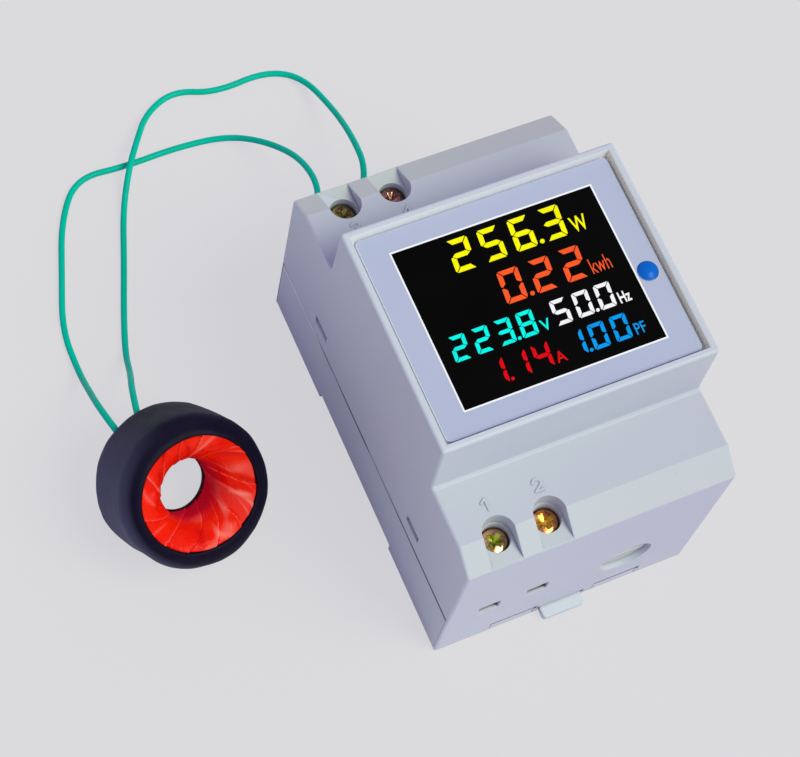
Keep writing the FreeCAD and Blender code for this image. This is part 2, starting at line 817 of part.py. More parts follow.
def terminal_carrier(sign):
    """Insulating block behind one end wall, with a shaft for each cage."""
    outer = sign * carrier_outer_y
    inner = sign * (terminal_y - carrier_cavity - carrier_inner_wall)
    margin = cage_width / 2 + cage_side_gap + 1.4
    y0, y1 = sorted((outer, inner))
    block = box(terminal_xs[0] - margin, terminal_xs[1] + margin, y0, y1,
                main_board_top, carrier_top)
    for x in terminal_xs:
        half = cage_width / 2 + cage_side_gap
        y = sign * terminal_y
        block = block.cut(box(x - half, x + half, y - carrier_cavity, y + carrier_cavity,
                              carrier_pit, carrier_top + 1))
        o0, o1 = sorted((sign * (terminal_y + carrier_cavity - 0.5), outer + sign))
        middle = x + entry_shift
        block = block.cut(box(middle - entry_width / 2, middle + entry_width / 2, o0, o1,
                              entry_low, entry_high))
        i0, i1 = sorted((sign * (terminal_y - carrier_cavity + 0.5), inner - sign))
        block = block.cut(box(x - bar_width / 2 - fit, x + bar_width / 2 + fit, i0, i1,
                              bar_low - fit, bar_high + fit))
    return block


def contact(x, sign):
    """Bar through the cage, bent down behind the carrier and soldered in the board."""
    tip = sign * (terminal_y + cage_length / 2 - 0.6)
    tail = sign * tail_y
    half = bar_width / 2
    y0, y1 = sorted((tip, tail - sign * bar_thickness / 2))
    bar = box(x - half, x + half, y0, y1, bar_low, bar_high)
    leg = box(x - half, x + half, tail - bar_thickness / 2, tail + bar_thickness / 2,
              main_board_height - tail_length, bar_high)
    return round_edges(fused([bar, leg]), 0.6,
                       lambda e: e.BoundBox.XLength > bar_width - 0.1
                       and e.BoundBox.ZMin > bar_high - 1e-3
                       and abs(e.BoundBox.Center.y) < abs(tail))


def clamp_cage(x, y, floor_top):
    half = cage_width / 2
    low = floor_top - cage_wall
    top = floor_top + cage_opening + cage_roof
    body = box(x - half, x + half, y - cage_length / 2, y + cage_length / 2, low, top)
    body = round_edges(body, 0.5, lambda e: e.BoundBox.YLength > cage_length - 0.1)
    body = body.cut(box(x - half + cage_wall, x + half - cage_wall, y - cage_length,
                        y + cage_length, floor_top, floor_top + cage_opening))
    return body.cut(cylinder(x, y, floor_top + cage_opening - 1, top + 1,
                             screw_radius + thread_gap))


def terminal_screw(x, y):
    """Pan head with a combined slot and cross, on a long shank down to the bar."""
    top = end_edge_height - screw_head_sink
    seat = top - screw_head_height
    head = cylinder(x, y, seat, top, screw_head_radius)
    head = round_edges(head, 0.7, lambda e: e.BoundBox.ZMin > top - 1e-6)
    shank = cylinder(x, y, screw_tip_height, seat + 0.5, screw_radius)
    shank = round_edges(shank, 0.3, lambda e: e.BoundBox.ZMax < screw_tip_height + 1e-6)
    body = fused([head, shank])
    half = recess_slot_width / 2
    low = top - recess_slot_depth
    body = body.cut(box(x - screw_head_radius - 1, x + screw_head_radius + 1, y - half, y + half,
                        low, top + 1))
    reach = screw_head_radius * 0.62
    return body.cut(box(x - half, x + half, y - reach, y + reach, low, top + 1))


def hole_plug():
    start = -half_length + end_hole_depth
    disc = Part.makeCylinder(end_hole_radius - fit / 2, plug_thickness,
                             V(end_hole_x, start, end_hole_height), V(0, 1, 0))
    cap = Part.makeCylinder(end_hole_radius + plug_flange, 1.0,
                            V(end_hole_x, start + plug_thickness + fit, end_hole_height),
                            V(0, 1, 0))
    neck = Part.makeCylinder(end_hole_radius - 1, plug_thickness + fit + 0.5,
                             V(end_hole_x, start, end_hole_height), V(0, 1, 0))
    rib = box(end_hole_x - end_hole_radius * 0.8, end_hole_x + end_hole_radius * 0.8,
              start - 0.5, start + 0.2, end_hole_height - 0.4, end_hole_height + 0.4)
    return fused([disc, neck, cap, rib])


def ring_place():
    lean = math.radians(ring_elevation)
    turn = math.radians(ring_heading)
    axis = V(math.cos(lean) * math.cos(turn), math.cos(lean) * math.sin(turn), math.sin(lean))
    drop = (ring_radius - ring_shoulder) * math.cos(lean)
    drop += (ring_length / 2 - ring_shoulder) * math.sin(lean) + ring_shoulder
    return V(ring_x, ring_y, drop), axis


def revolved(edges):
    """Turn a closed outline in the XZ plane about Z and set it in the ring's place."""
    body = Part.Face(Part.Wire(edges)).revolve(V(0, 0, 0), V(0, 0, 1), 360)
    solid = Part.Solid(Part.Shell(body.Faces)) if not body.Solids else body.Solids[0]
    centre, axis = ring_place()
    turn = FreeCAD.Rotation(V(0, 0, 1), axis)
    solid.Placement = FreeCAD.Placement(centre, turn)
    return solid


def line(a, b):
    return Part.LineSegment(V(a[0], 0, a[1]), V(b[0], 0, b[1])).toShape()


def arc(a, m, b):
    return Part.Arc(V(a[0], 0, a[1]), V(m[0], 0, m[1]), V(b[0], 0, b[1])).toShape()


def mouth_curve(shrink, sign):
    """Flare from the throat to the mouth, an arc that leaves the throat straight."""
    x0, z0 = ring_bore_radius + shrink, sign * ring_throat / 2
    x1, z1 = mouth_radius - fit / 2, sign * (ring_length / 2 - ring_mouth_sink - shrink)
    dx, dz = x1 - x0, abs(z1 - z0)
    radius = (dx * dx + dz * dz) / (2 * dx)
    sweep = math.atan2(dz, radius - dx) / 2
    middle = (x0 + radius * (1 - math.cos(sweep)), z0 + sign * radius * math.sin(sweep))
    return (x0, z0), middle, (x1, z1)


def ct_tape():
    """Red tape that lines the bore and rolls out over both faces."""
    low, high = mouth_curve(0, -1), mouth_curve(0, 1)
    inner_low, inner_high = mouth_curve(tape_wall, -1), mouth_curve(tape_wall, 1)
    return revolved([
        line(low[0], high[0]), arc(*high), line(high[2], inner_high[2]),
        arc(*reversed(inner_high)), line(inner_high[0], inner_low[0]), arc(*inner_low),
        line(inner_low[2], low[2]), arc(*reversed(low)),
    ])


def shoulder_curve(inset, sign):
    """Quarter round from the ring's side to its face, at a depth below the surface."""
    hub_r, hub_z = ring_radius - ring_shoulder, ring_length / 2 - ring_shoulder
    r = ring_shoulder - inset
    k = r * math.sqrt(0.5)
    return ((hub_r + r, sign * hub_z), (hub_r + k, sign * (hub_z + k)),
            (hub_r, sign * (hub_z + r)))


def ct_sleeve():
    """Black shrink sleeve: round the outside, over the shoulders, to the mouths."""
    outer_high, outer_low = shoulder_curve(0, 1), shoulder_curve(0, -1)
    inner_high, inner_low = shoulder_curve(sleeve_wall, 1), shoulder_curve(sleeve_wall, -1)
    outline = [line(outer_low[0], outer_high[0]), arc(*outer_high)]
    for outer, inner in ((outer_high, inner_high), (inner_low, outer_low)):
        edge_a, edge_b = (mouth_radius, outer[2][1]), (mouth_radius, inner[2][1])
        outline += [line(outer[2], edge_a), line(edge_a, edge_b), line(edge_b, inner[2])]
        if outer is outer_high:
            outline += [arc(*reversed(inner_high)), line(inner_high[0], inner_low[0]),
                        arc(*inner_low)]
    outline.append(arc(*reversed(outer_low)))
    return revolved(outline)


def ct_winding():
    """Wound copper between the core and the tape, as one toroid."""
    depth = sleeve_wall + fit
    high, low = mouth_curve(tape_wall + fit, 1), mouth_curve(tape_wall + fit, -1)
    side_high, side_low = shoulder_curve(depth, 1), shoulder_curve(depth, -1)
    outline = [
        line(low[0], high[0]), arc(*high), line(high[2], side_high[2]),
        arc(*reversed(side_high)), line(side_high[0], side_low[0]), arc(*side_low),
        line(side_low[2], low[2]), arc(*reversed(low)),
    ]
    return revolved(outline).cut(ct_core())


def core_outline():
    x0 = ring_bore_radius + tape_wall + winding_wall + 1.6
    x1 = ring_radius - sleeve_wall - winding_wall - 1.2
    z = ring_length / 2 - ring_shoulder
    return [line((x0, -z), (x1, -z)), line((x1, -z), (x1, z)), line((x1, z), (x0, z)),
            line((x0, z), (x0, -z))]


def ct_core():
    return revolved(core_outline())


def cord(name, route, diameter):
    """A tube along straight runs joined by tangent arcs."""
    points = [V(*p) for p in route]
    edges = []
    start = points[0]
    radii = []
    for a, b, c in zip(points, points[1:], points[2:]):
        into, out = (b - a).normalize(), (c - b).normalize()
        half_turn = into.getAngle(out) / 2
        reach = 0.45 * min((b - a).Length, (c - b).Length)
        radii.append(reach / math.tan(half_turn))
        p, q = b - into * reach, b + out * reach
        centre_way = (out - into).normalize()
        hub = b + centre_way * (reach / math.sin(half_turn))
        middle = hub - centre_way * radii[-1]
        edges += [Part.LineSegment(start, p).toShape(), Part.Arc(p, middle, q).toShape()]
        start = q
    edges.append(Part.LineSegment(start, points[-1]).toShape())
    path = Part.Wire(edges)
    way = points[1] - points[0]
    section = Part.Wire(Part.makeCircle(diameter / 2, points[0], way))
    tube = path.makePipeShell([section], True, False)
    ideal = math.pi * diameter ** 2 / 4 * path.Length
    print(f"{name}: length {path.Length:.1f}, volume {tube.Volume / ideal:.4f} of section x length")
    print(f"{name}: radii", [round(radius, 1) for radius in radii])
    return tube


def bare_end(x, route):
    y0 = half_length - bare_end_inset
    return Part.makeCylinder(wire_diameter / 2, route[0][1] - y0, V(x, y0, route[0][2]),
                             V(0, 1, 0))


def main():
    os.makedirs("parts", exist_ok=True)
    save("front_housing", front_housing())
    save("rear_base", rear_base())
    save("din_clip", din_clip())
    save("face_plate", face_plate())
    save("display_window", display_window())
    save("lcd_panel", lcd_panel())
    save("backlight_tray", backlight_tray())
    save("light_guide", light_guide())
    save("lcd_pins", lcd_pins())
    save("display_board", display_board())
    save("display_board_screws", display_board_screws())
    save("display_chip", display_chip())
    save("switch_body", switch_body())
    save("switch_stem", switch_stem())
    save("reset_button", reset_button())
    save("riser_socket", riser_socket())
    save("riser_board", riser_board())
    save("riser_header", riser_header())
    save("main_board", main_board())
    save("main_board_screws", main_board_screws())
    save("film_capacitor", round_edges(on_board(film_capacitor, film_capacitor_place), 0.8,
                                       vertical))
    save("filter_capacitor", filter_capacitor())
    save("metering_chip", on_board(metering_chip, metering_chip_place))
    save("varistor", varistor())
    save("hole_plug", hole_plug())
    save("terminal_carrier_a", terminal_carrier(-1))
    save("terminal_carrier_b", terminal_carrier(1))
    for number, x, sign, y in terminal_places():
        floor_top = cage_open_floor if sign < 0 else cage_closed_floor
        save(f"contact_{number}", contact(x, sign))
        save(f"clamp_cage_{number}", clamp_cage(x, y, floor_top))
        save(f"terminal_screw_{number}", terminal_screw(x, y))
    save("ct_core", ct_core())
    save("ct_winding", ct_winding())
    save("ct_tape", ct_tape())
    save("ct_sleeve", ct_sleeve())
    save("ct_lead_a", cord("ct_lead_a", lead_a_route, lead_diameter))
    save("ct_lead_b", cord("ct_lead_b", lead_b_route, lead_diameter))
    save("bare_end_a", bare_end(terminal_xs[0], lead_a_route))
    save("bare_end_b", bare_end(terminal_xs[1], lead_b_route))


main()
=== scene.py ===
from contextlib import contextmanager
import json
import math

import bmesh
import bpy
import numpy as np
from mathutils import Matrix, Vector, noise

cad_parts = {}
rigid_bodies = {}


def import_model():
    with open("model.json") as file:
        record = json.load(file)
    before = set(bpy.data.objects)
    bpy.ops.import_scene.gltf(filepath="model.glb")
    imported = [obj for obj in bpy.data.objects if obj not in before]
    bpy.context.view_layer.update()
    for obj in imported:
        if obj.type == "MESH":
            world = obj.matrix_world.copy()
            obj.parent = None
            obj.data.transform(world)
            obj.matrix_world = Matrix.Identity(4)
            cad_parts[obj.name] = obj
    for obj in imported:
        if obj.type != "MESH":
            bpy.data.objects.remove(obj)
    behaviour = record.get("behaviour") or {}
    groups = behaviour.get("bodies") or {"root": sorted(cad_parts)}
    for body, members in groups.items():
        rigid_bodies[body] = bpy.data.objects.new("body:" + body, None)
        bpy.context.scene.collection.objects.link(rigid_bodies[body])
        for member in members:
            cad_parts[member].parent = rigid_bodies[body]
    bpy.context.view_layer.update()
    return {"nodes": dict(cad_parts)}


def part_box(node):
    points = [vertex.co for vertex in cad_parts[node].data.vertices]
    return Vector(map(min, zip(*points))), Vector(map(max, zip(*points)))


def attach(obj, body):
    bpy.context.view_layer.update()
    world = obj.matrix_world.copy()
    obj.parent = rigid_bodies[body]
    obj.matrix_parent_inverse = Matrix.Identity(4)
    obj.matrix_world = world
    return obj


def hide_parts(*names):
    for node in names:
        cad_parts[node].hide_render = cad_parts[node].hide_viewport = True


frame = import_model()
nodes = frame["nodes"]
scene = bpy.context.scene
mm = 0.001
fullTurn = 2 * math.pi
print("frame loaded with", len(nodes), "solids")


def setInputs(tree, node, inputs):
    # a socket is linked, and anything else becomes the input's own value
    for key, value in inputs.items():
        socket = node.inputs[key]
        if isinstance(value, bpy.types.NodeSocket):
            tree.links.new(value, socket)
        else:
            flat = socket.type == "RGBA" and len(value) == 3
            socket.default_value = (*value, 1.0) if flat else value


def addNode(tree, kind, inputs=None, **settings):
    node = tree.nodes.new(kind)
    for key, value in settings.items():
        setattr(node, key, value)
    setInputs(tree, node, inputs or {})
    return node


def mathNode(tree, operation, a, b=0.0, c=None, clamp=False):
    inputs = {0: a, 1: b} if c is None else {0: a, 1: b, 2: c}
    return addNode(tree, "ShaderNodeMath", inputs, operation=operation, use_clamp=clamp).outputs[0]


def multiply(tree, first, *others, clamp=False):
    for value in others:
        first = mathNode(tree, "MULTIPLY", first, value, clamp=clamp)
    return first


def vectorMath(tree, operation, *values):
    node = addNode(tree, "ShaderNodeVectorMath", dict(enumerate(values)), operation=operation)
    return node.outputs["Value" if operation in ("LENGTH", "DOT_PRODUCT") else "Vector"]


def split(tree, vector):
    return addNode(tree, "ShaderNodeSeparateXYZ", {0: vector}).outputs


def joined(tree, x=0.0, y=0.0, z=0.0):
    return addNode(tree, "ShaderNodeCombineXYZ", {"X": x, "Y": y, "Z": z}).outputs[0]


def remap(tree, value, low, high, toLow=0.0, toHigh=1.0):
    return addNode(tree, "ShaderNodeMapRange", {
        "Value": value, "From Min": low, "From Max": high, "To Min": toLow,
        "To Max": toHigh}).outputs["Result"]


def mixColour(tree, factor, a, b, blend="MIX"):
    return addNode(tree, "ShaderNodeMix", {0: factor, 6: a, 7: b}, data_type="RGBA",
                   blend_type=blend).outputs[2]


def ramp(tree, factor, stops):
    node = addNode(tree, "ShaderNodeValToRGB", {"Fac": factor})
    elements = node.color_ramp.elements
    while len(elements) < len(stops):
        elements.new(0.5)
    for element, (place, colour) in zip(elements, stops):
        element.position = place
        element.color = (*colour, 1.0)
    return node.outputs["Color"]


def objectPlace(tree):
    return addNode(tree, "ShaderNodeTexCoord").outputs["Object"]


def cloudy(tree, place, scale, detail, roughness=0.5, distortion=0.0):
    return addNode(tree, "ShaderNodeTexNoise", {
        "Vector": place, "Scale": scale, "Detail": detail, "Roughness": roughness,
        "Distortion": distortion}).outputs["Fac"]


def newGroup(name, kind, inputs, outputs):
    # an input is given by its first value, or by the kind of its socket
    tree = bpy.data.node_groups.new(name, kind)
    for label, value in inputs.items():
        socket = value if isinstance(value, str) else "Color" if isinstance(value, tuple) else "Float"
        made = tree.interface.new_socket(label, in_out="INPUT", socket_type="NodeSocket" + socket)
        if not isinstance(value, str):
            made.default_value = value
    for label, socket in outputs.items():
        tree.interface.new_socket(label, in_out="OUTPUT", socket_type="NodeSocket" + socket)
    return tree, tree.nodes.new("NodeGroupInput").outputs, tree.nodes.new("NodeGroupOutput").inputs


def newMaterial(name):
    material = bpy.data.materials.new(name)
    material.use_nodes = True
    tree = material.node_tree
    return material, tree, tree.nodes["Principled BSDF"]


def bumpOn(tree, shader, height, depth, strength):
    bump = addNode(tree, "ShaderNodeBump", {"Height": height, "Distance": depth,
                                            "Strength": strength})
    tree.links.new(bump.outputs["Normal"], shader.inputs["Normal"])


def newObject(name, data):
    item = bpy.data.objects.new(name, data)
    scene.collection.objects.link(item)
    return item


def newPiece(name, mesh, material, body, slotName, stands=()):
    piece = newObject(name, mesh)
    if not mesh.materials:
        mesh.materials.append(material)
    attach(piece, body)
    if stands:
        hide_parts(*stands)


@contextmanager
def reshaped(mesh, source=None):
    # the mesh opened for editing, from another mesh's shape where one is given
    shape = bmesh.new()
    shape.from_mesh(source or mesh)
    yield shape
    shape.to_mesh(mesh)
    shape.free()


def smoothByAngle(mesh, degrees):
    limit = math.radians(degrees)
    with reshaped(mesh) as shape:
        for face in shape.faces:
            face.smooth = True
        for edge in shape.edges:
            edge.smooth = len(edge.link_faces) == 2 and edge.calc_face_angle(3.2) < limit


def outwards(mesh):
    with reshaped(mesh) as shape:
        bmesh.ops.remove_doubles(shape, verts=shape.verts, dist=1e-7)
        bmesh.ops.recalc_face_normals(shape, faces=shape.faces)
    return mesh


def thicken(shape, amount):
    grown = bmesh.ops.extrude_face_region(shape, geom=list(shape.faces))
    for item in grown["geom"]:
        if isinstance(item, bmesh.types.BMVert):
            item.co.z += amount
    bmesh.ops.recalc_face_normals(shape, faces=shape.faces)


def evaluated(carrier, name):
    # the carrier's finished mesh, which stays when the carrier goes
    bpy.context.view_layer.update()
    seen = bpy.context.evaluated_depsgraph_get()
    mesh = bpy.data.meshes.new_from_object(carrier.evaluated_get(seen), depsgraph=seen)
    mesh.name = name
    carrier.modifiers.clear()
    bpy.data.objects.remove(carrier)
    return mesh


view = {"place": (-0.150234, -0.149375, 0.481595), "turn": (23.0767, -7.0430, -23.7920),
        "lens": 104.485, "sensor": 36.0, "near": 0.01, "far": 20.0}


def makeCamera():
    data = bpy.data.cameras.new("viewCamera")
    data.lens, data.sensor_width = view["lens"], view["sensor"]
    data.clip_start, data.clip_end = view["near"], view["far"]
    camera = newObject("viewCamera", data)
    camera.location = view["place"]
    camera.rotation_euler = [math.radians(a) for a in view["turn"]]
    scene.camera = camera


studio = {
    "skyColour": (0.91, 0.85, 1.23), "skyLevel": 0.45,
    "keyFrom": (0.36, -0.40, 0.843), "keySpread": 34.0, "keyPower": 2.3,
    "keyColour": (0.93, 1.0, 0.72),
    "floorColour": (0.712, 0.705, 0.728), "floorHeight": -0.0026, "floorSize": 6.0,
    "shadowShare": 0.16,
}


def seenDirectly(tree):
    path = addNode(tree, "ShaderNodeLightPath").outputs
    return mathNode(tree, "MAXIMUM", path["Is Camera Ray"], path["Is Transmission Ray"])


def makeSky():
    world = bpy.data.worlds.new("studioSky")
    scene.world = world
    world.use_nodes = True
    tree = world.node_tree
    seen = seenDirectly(tree)
    sky = studio["skyLevel"]
    setInputs(tree, tree.nodes["Background"], {
        "Color": mixColour(tree, seen, studio["skyColour"], studio["floorColour"]),
        "Strength": mathNode(tree, "MULTIPLY_ADD", seen, 1.0 - sky, sky)})


def makeKeyLight():
    aim = Vector(studio["keyFrom"]).normalized()
    data = bpy.data.lights.new("keyLight", "SUN")
    data.angle = math.radians(studio["keySpread"])
    data.energy = studio["keyPower"]
    data.color = studio["keyColour"]
    lamp = newObject("keyLight", data)
    lamp.location = aim
    lamp.rotation_euler = aim.to_track_quat("Z", "Y").to_euler()


def makeFloor():
    half, height = studio["floorSize"] / 2, studio["floorHeight"]
    mesh = bpy.data.meshes.new("studioFloor")
    corners = [(-half, -half), (half, -half), (half, half), (-half, half)]
    mesh.from_pydata([(x, y, height) for x, y in corners], [], [(0, 1, 2, 3)])
    floor = newObject("studioFloor", mesh)
    material, tree, shader = newMaterial("floorPaper")
    setInputs(tree, shader, {"Base Color": studio["floorColour"], "Roughness": 0.9,
                             "Specular IOR Level": 0.0})
    # seen by the camera, most of the floor is its own even tone, and the rest takes the shadows
    glow = addNode(tree, "ShaderNodeEmission", {"Color": studio["floorColour"]})
    share = multiply(tree, seenDirectly(tree), 1.0 - studio["shadowShare"])
    mix = addNode(tree, "ShaderNodeMixShader", {0: share, 1: shader.outputs[0], 2: glow.outputs[0]})
    tree.links.new(mix.outputs[0], tree.nodes["Material Output"].inputs["Surface"])
    mesh.materials.append(material)


makeCamera()
makeSky()
makeKeyLight()
makeFloor()
print("camera and studio ready")


skin = {"dustScale": 160.0, "dustSize": 0.035, "dustRarity": 0.86, "dustColour": (0.25, 0.23, 0.22),
        "creviceSamples": 6, "creviceShut": 0.2, "creviceOpen": 0.85, "jointFacing": 0.3,
        "jointShade": 0.9}
# what a look calls each input of the skin group
skinInputs = {"colour": "Colour", "cloud": "Cloud Scale", "clouds": "Cloud Amount",
              "grain": "Grain Scale", "specks": "Speck Amount", "rough": "Roughness",
              "spread": "Roughness Spread", "creviceReach": "Crevice Reach",
              "crevice": "Crevice Amount", "jointHeight": "Joint Height",
              "creviceTop": "Crevice Top"}


def mouldedSkinGroup():
    tree, given, out = newGroup("mouldedSkin", "ShaderNodeTree", {
        "Colour": (0.8, 0.8, 0.8, 1.0), "Shade": (0.7, 0.7, 0.7, 1.0), "Cloud Scale": 45.0,
        "Cloud Amount": 0.6, "Grain Scale": 5200.0, "Speck Amount": 0.0, "Roughness": 0.5,
        "Roughness Spread": 0.16, "Crevice Reach": 0.001, "Crevice Amount": 0.0,
        "Crevice Shade Colour": (0.13, 0.12, 0.16, 1.0), "Joint Height": -1.0, "Crevice Top": 1.0,
    }, {"Colour": "Color", "Roughness": "Float", "Height": "Float"})
    place = objectPlace(tree)
    cloud = cloudy(tree, place, given["Cloud Scale"], 4.0, 0.55)
    grain = cloudy(tree, place, given["Grain Scale"], 2.0, 0.6)
    dust = addNode(tree, "ShaderNodeTexVoronoi", {"Vector": place,
                                                  "Scale": skin["dustScale"]}).outputs
    pick = addNode(tree, "ShaderNodeSeparateColor", {"Color": dust["Color"]}).outputs["Red"]
    speck = multiply(tree, mathNode(tree, "LESS_THAN", dust["Distance"], skin["dustSize"]),
                     mathNode(tree, "GREATER_THAN", pick, skin["dustRarity"]),
                     given["Speck Amount"])
    spread = multiply(tree, mathNode(tree, "SUBTRACT", cloud, 0.35), given["Cloud Amount"],
                      clamp=True)
    clouded = mixColour(tree, spread, given["Colour"], given["Shade"])
    dotted = mixColour(tree, speck, clouded, skin["dustColour"])
    # painted shade: narrow gaps and corners darken, the more hidden they are
    hidden = addNode(tree, "ShaderNodeAmbientOcclusion", {"Distance": given["Crevice Reach"]},
                     samples=skin["creviceSamples"]).outputs["AO"]
    shut = remap(tree, hidden, skin["creviceShut"], skin["creviceOpen"], 1.0, 0.0)
    paintedShade = multiply(tree, shut, given["Crevice Amount"], clamp=True)
    height = split(tree, place)["Z"]
    paintedShade = multiply(tree, paintedShade, mathNode(tree, "LESS_THAN", height, given["Crevice Top"]))
    # painted shade in the joints: below the joint height, faces that look up lie inside the joints
    # between the two halves
    facing = split(tree, addNode(tree, "ShaderNodeNewGeometry").outputs["True Normal"])["Z"]
    joint = multiply(tree, mathNode(tree, "GREATER_THAN", facing, skin["jointFacing"]),
                     mathNode(tree, "LESS_THAN", height, given["Joint Height"]),
                     skin["jointShade"])
    paintedShade = mathNode(tree, "MAXIMUM", paintedShade, joint)
    wander = multiply(tree, mathNode(tree, "SUBTRACT", cloud, 0.5), given["Roughness Spread"])
    finer = multiply(tree, mathNode(tree, "SUBTRACT", grain, 0.5), 0.12)
    rough = mathNode(tree, "ADD", mathNode(tree, "ADD", given["Roughness"], wander), finer)
    tree.links.new(mixColour(tree, paintedShade, dotted, given["Crevice Shade Colour"]), out["Colour"])
    tree.links.new(rough, out["Roughness"])
    tree.links.new(grain, out["Height"])
    return tree


mouldedSkin = mouldedSkinGroup()


def skinOn(tree, look):
    values = {skinInputs[key]: value for key, value in look.items() if key in skinInputs}
    values["Shade"] = look.get("shade", tuple(c * 0.9 for c in look["colour"]))
    return addNode(tree, "ShaderNodeGroup", values, node_tree=mouldedSkin).outputs


def plastic(name, look, tint=None):
    # tint is a function that works the look's own changes into the colour of the skin
    material, tree, shader = newMaterial(name)
    surface = skinOn(tree, look)
    colour = tint(tree, surface["Colour"], look) if tint else surface["Colour"]
    bumpOn(tree, shader, surface["Height"], look.get("depth", 0.00002), look.get("bump", 0.6))
    setInputs(tree, shader, {
        "Base Color": colour, "Roughness": surface["Roughness"],
        "Specular IOR Level": look.get("specular", 0.4), "Metallic": look.get("metal", 0.0),
        "Coat Weight": look.get("coat", 0.0), "Coat Roughness": look.get("coatRough", 0.1)})
    if "ior" in look:
        shader.inputs["IOR"].default_value = look["ior"]
    return material


leads = {
    "diameter": 1.45, "seat": 2.6,
    "look": {"colour": (0.0, 0.50, 0.36), "shade": (0.0, 0.37, 0.265), "cloud": 160.0,
             "clouds": 1.0, "grain": 2600.0, "rough": 0.22, "spread": 0.2, "depth": 0.00003,
             "bump": 0.5, "specular": 0.12, "ior": 1.3},
    "a": {"node": "ct_lead_a", "length": 0.170, "route": [
        (-21.65, 42.6, 20.6), (-21.4, 50.0, 20.6), (-15.6, 58.5, 20.2), (-14.9, 70.0, 14.6),
        (-18.6, 80.8, 6.4), (-25.6, 88.0, 1.0), (-38.0, 89.2, 0.8), (-50.5, 88.6, 0.8),
        (-62.6, 89.6, 0.8), (-69.6, 80.2, 0.8), (-74.4, 67.0, 0.8), (-79.0, 54.5, 0.8),
        (-79.2, 43.0, 1.0), (-79.8, 35.0, 9.0), (-80.4, 27.5, 17.2), (-79.1, 20.4, 19.1)]},
    "b": {"node": "ct_lead_b", "length": 0.193, "route": [
        (-10.25, 42.6, 20.6), (-10.1, 50.3, 20.6), (-3.6, 60.0, 19.8), (-1.8, 71.0, 15.0),
        (-0.6, 83.2, 7.0), (-2.4, 96.8, 1.0), (-10.2, 101.2, 0.8), (-23.5, 99.8, 0.8),
        (-32.8, 103.6, 0.8), (-41.0, 100.0, 1.0), (-46.4, 92.4, 4.0), (-50.6, 86.4, 4.0),
        (-55.3, 78.0, 1.0), (-59.7, 66.0, 0.8), (-64.8, 53.0, 0.8), (-68.0, 43.6, 1.0),
        (-69.8, 36.3, 8.5), (-72.4, 29.2, 17.2), (-73.8, 22.2, 19.6)]},
}


def makeLead(name, lead, material):
    curve = bpy.data.curves.new(name, "CURVE")
    curve.dimensions = "3D"
    curve.resolution_u = 12
    curve.bevel_depth = leads["diameter"] / 2 * mm
    curve.bevel_resolution = 5
    curve.use_fill_caps = True
    spline = curve.splines.new("NURBS")
    spline.points.add(len(lead["route"]) - 1)
    for point, (x, y, z) in zip(spline.points, lead["route"]):
        point.co = (x * mm, y * mm, (z - leads["seat"]) * mm, 1.0)
    spline.order_u = 3
    spline.use_endpoint_u = True
    curve.materials.append(material)
    piece = newObject(name, curve)
    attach(piece, "meter")
    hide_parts(lead["node"])
    tuple(spline.points[0].co[:3])


leadGreen = plastic("leadGreen", leads["look"])
makeLead("greenLeadA", leads["a"], leadGreen)
makeLead("greenLeadB", leads["b"], leadGreen)
print("leads laid")


mouldings = {
    "case": {"colour": (0.575, 0.615, 0.700), "shade": (0.545, 0.575, 0.665), "cloud": 22.0,
             "clouds": 0.9, "grain": 4200.0, "specks": 0.25, "rough": 0.46, "depth": 0.00003,
             "specular": 0.35, "crevice": 0.8, "creviceTop": 0.06, "jointHeight": 0.0035,
             "sweep": [(0.0, (1.02, 1.03, 1.02)), (0.5, (0.99, 0.99, 1.0)),
                       (1.0, (0.975, 0.96, 0.98))], "sweepReach": 0.03},
    "clip": {"colour": (0.60, 0.645, 0.73), "shade": (0.56, 0.60, 0.69), "cloud": 60.0,
             "rough": 0.42, "grain": 4200.0, "specular": 0.35, "crevice": 0.6},
    "plate": {"colour": (0.440, 0.480, 0.660), "shade": (0.500, 0.535, 0.690), "cloud": 16.0,
              "clouds": 1.0, "grain": 7000.0, "rough": 0.38, "spread": 0.1, "depth": 0.000008,
              "specular": 0.3, "crevice": 0.12, "creviceReach": 0.0003},
    "plug": {"colour": (0.52, 0.53, 0.56), "shade": (0.60, 0.61, 0.64), "cloud": 90.0,
             "clouds": 1.2, "rough": 0.4, "grain": 3000.0},
}
# the base's lip is a painted highlight along the seam
mouldings["base"] = dict(mouldings["case"], jointHeight=0.03, lip={
    "low": 0.0171, "high": 0.01762, "colour": (1.0, 1.0, 1.0), "fade": (-0.028, -0.006),
    "most": 0.9, "patch": 38.0, "patchFrom": (0.38, 0.60)})
softening = {"scale": 1000.0, "merge": 0.002, "flat": 0.6, "sharp": 30.0, "edge": 28.0,
             "roomShare": 0.3, "least": 0.2, "straight": 0.85, "beside": 0.9}
# painted light and shade on each zone, lighter or darker by how its faces turn to the light:
# direction of the faces, corners of the zone in mm, tone
paintedLightZones = [
    ((0, -1, 0), (-32, -46, -3), (32, -44, 50), (0.975, 0.945, 1.03)),
    ((0, 0, 1), (-32, -46, 49), (32, 0, 52), (0.90, 0.885, 0.90)),
    ((0, 0, 1), (-32, 0, 49), (32, 46, 52), (0.83, 0.82, 0.85)),
    ((0, 0.555, 0.832), (-32, 38, 46), (32, 46, 51), (0.93, 0.92, 0.83)),
    ((0, -0.555, 0.832), (-32, -46, 46), (32, -38, 51), (0.93, 0.935, 0.90)),
    ((-1, 0, 0), (0, -26, 66), (30, 26, 69), (1.60, 1.50, 0.96)),
    ((0, -1, 0), (-30, 20, 66), (30, 27, 69), (1.55, 1.48, 1.33)),
    ((0, 1, 0), (-30, -27, 66), (30, -20, 69), (1.40, 1.35, 1.25)),
    ((-0.7, 0, 0.7), (-30, -26, 66), (-27, 26, 67.5), (1.95, 1.85, 1.45)),
    ((-1, 0, 0), (-30, -26, 66), (-27, 26, 67.5), (1.95, 1.85, 1.45)),
]


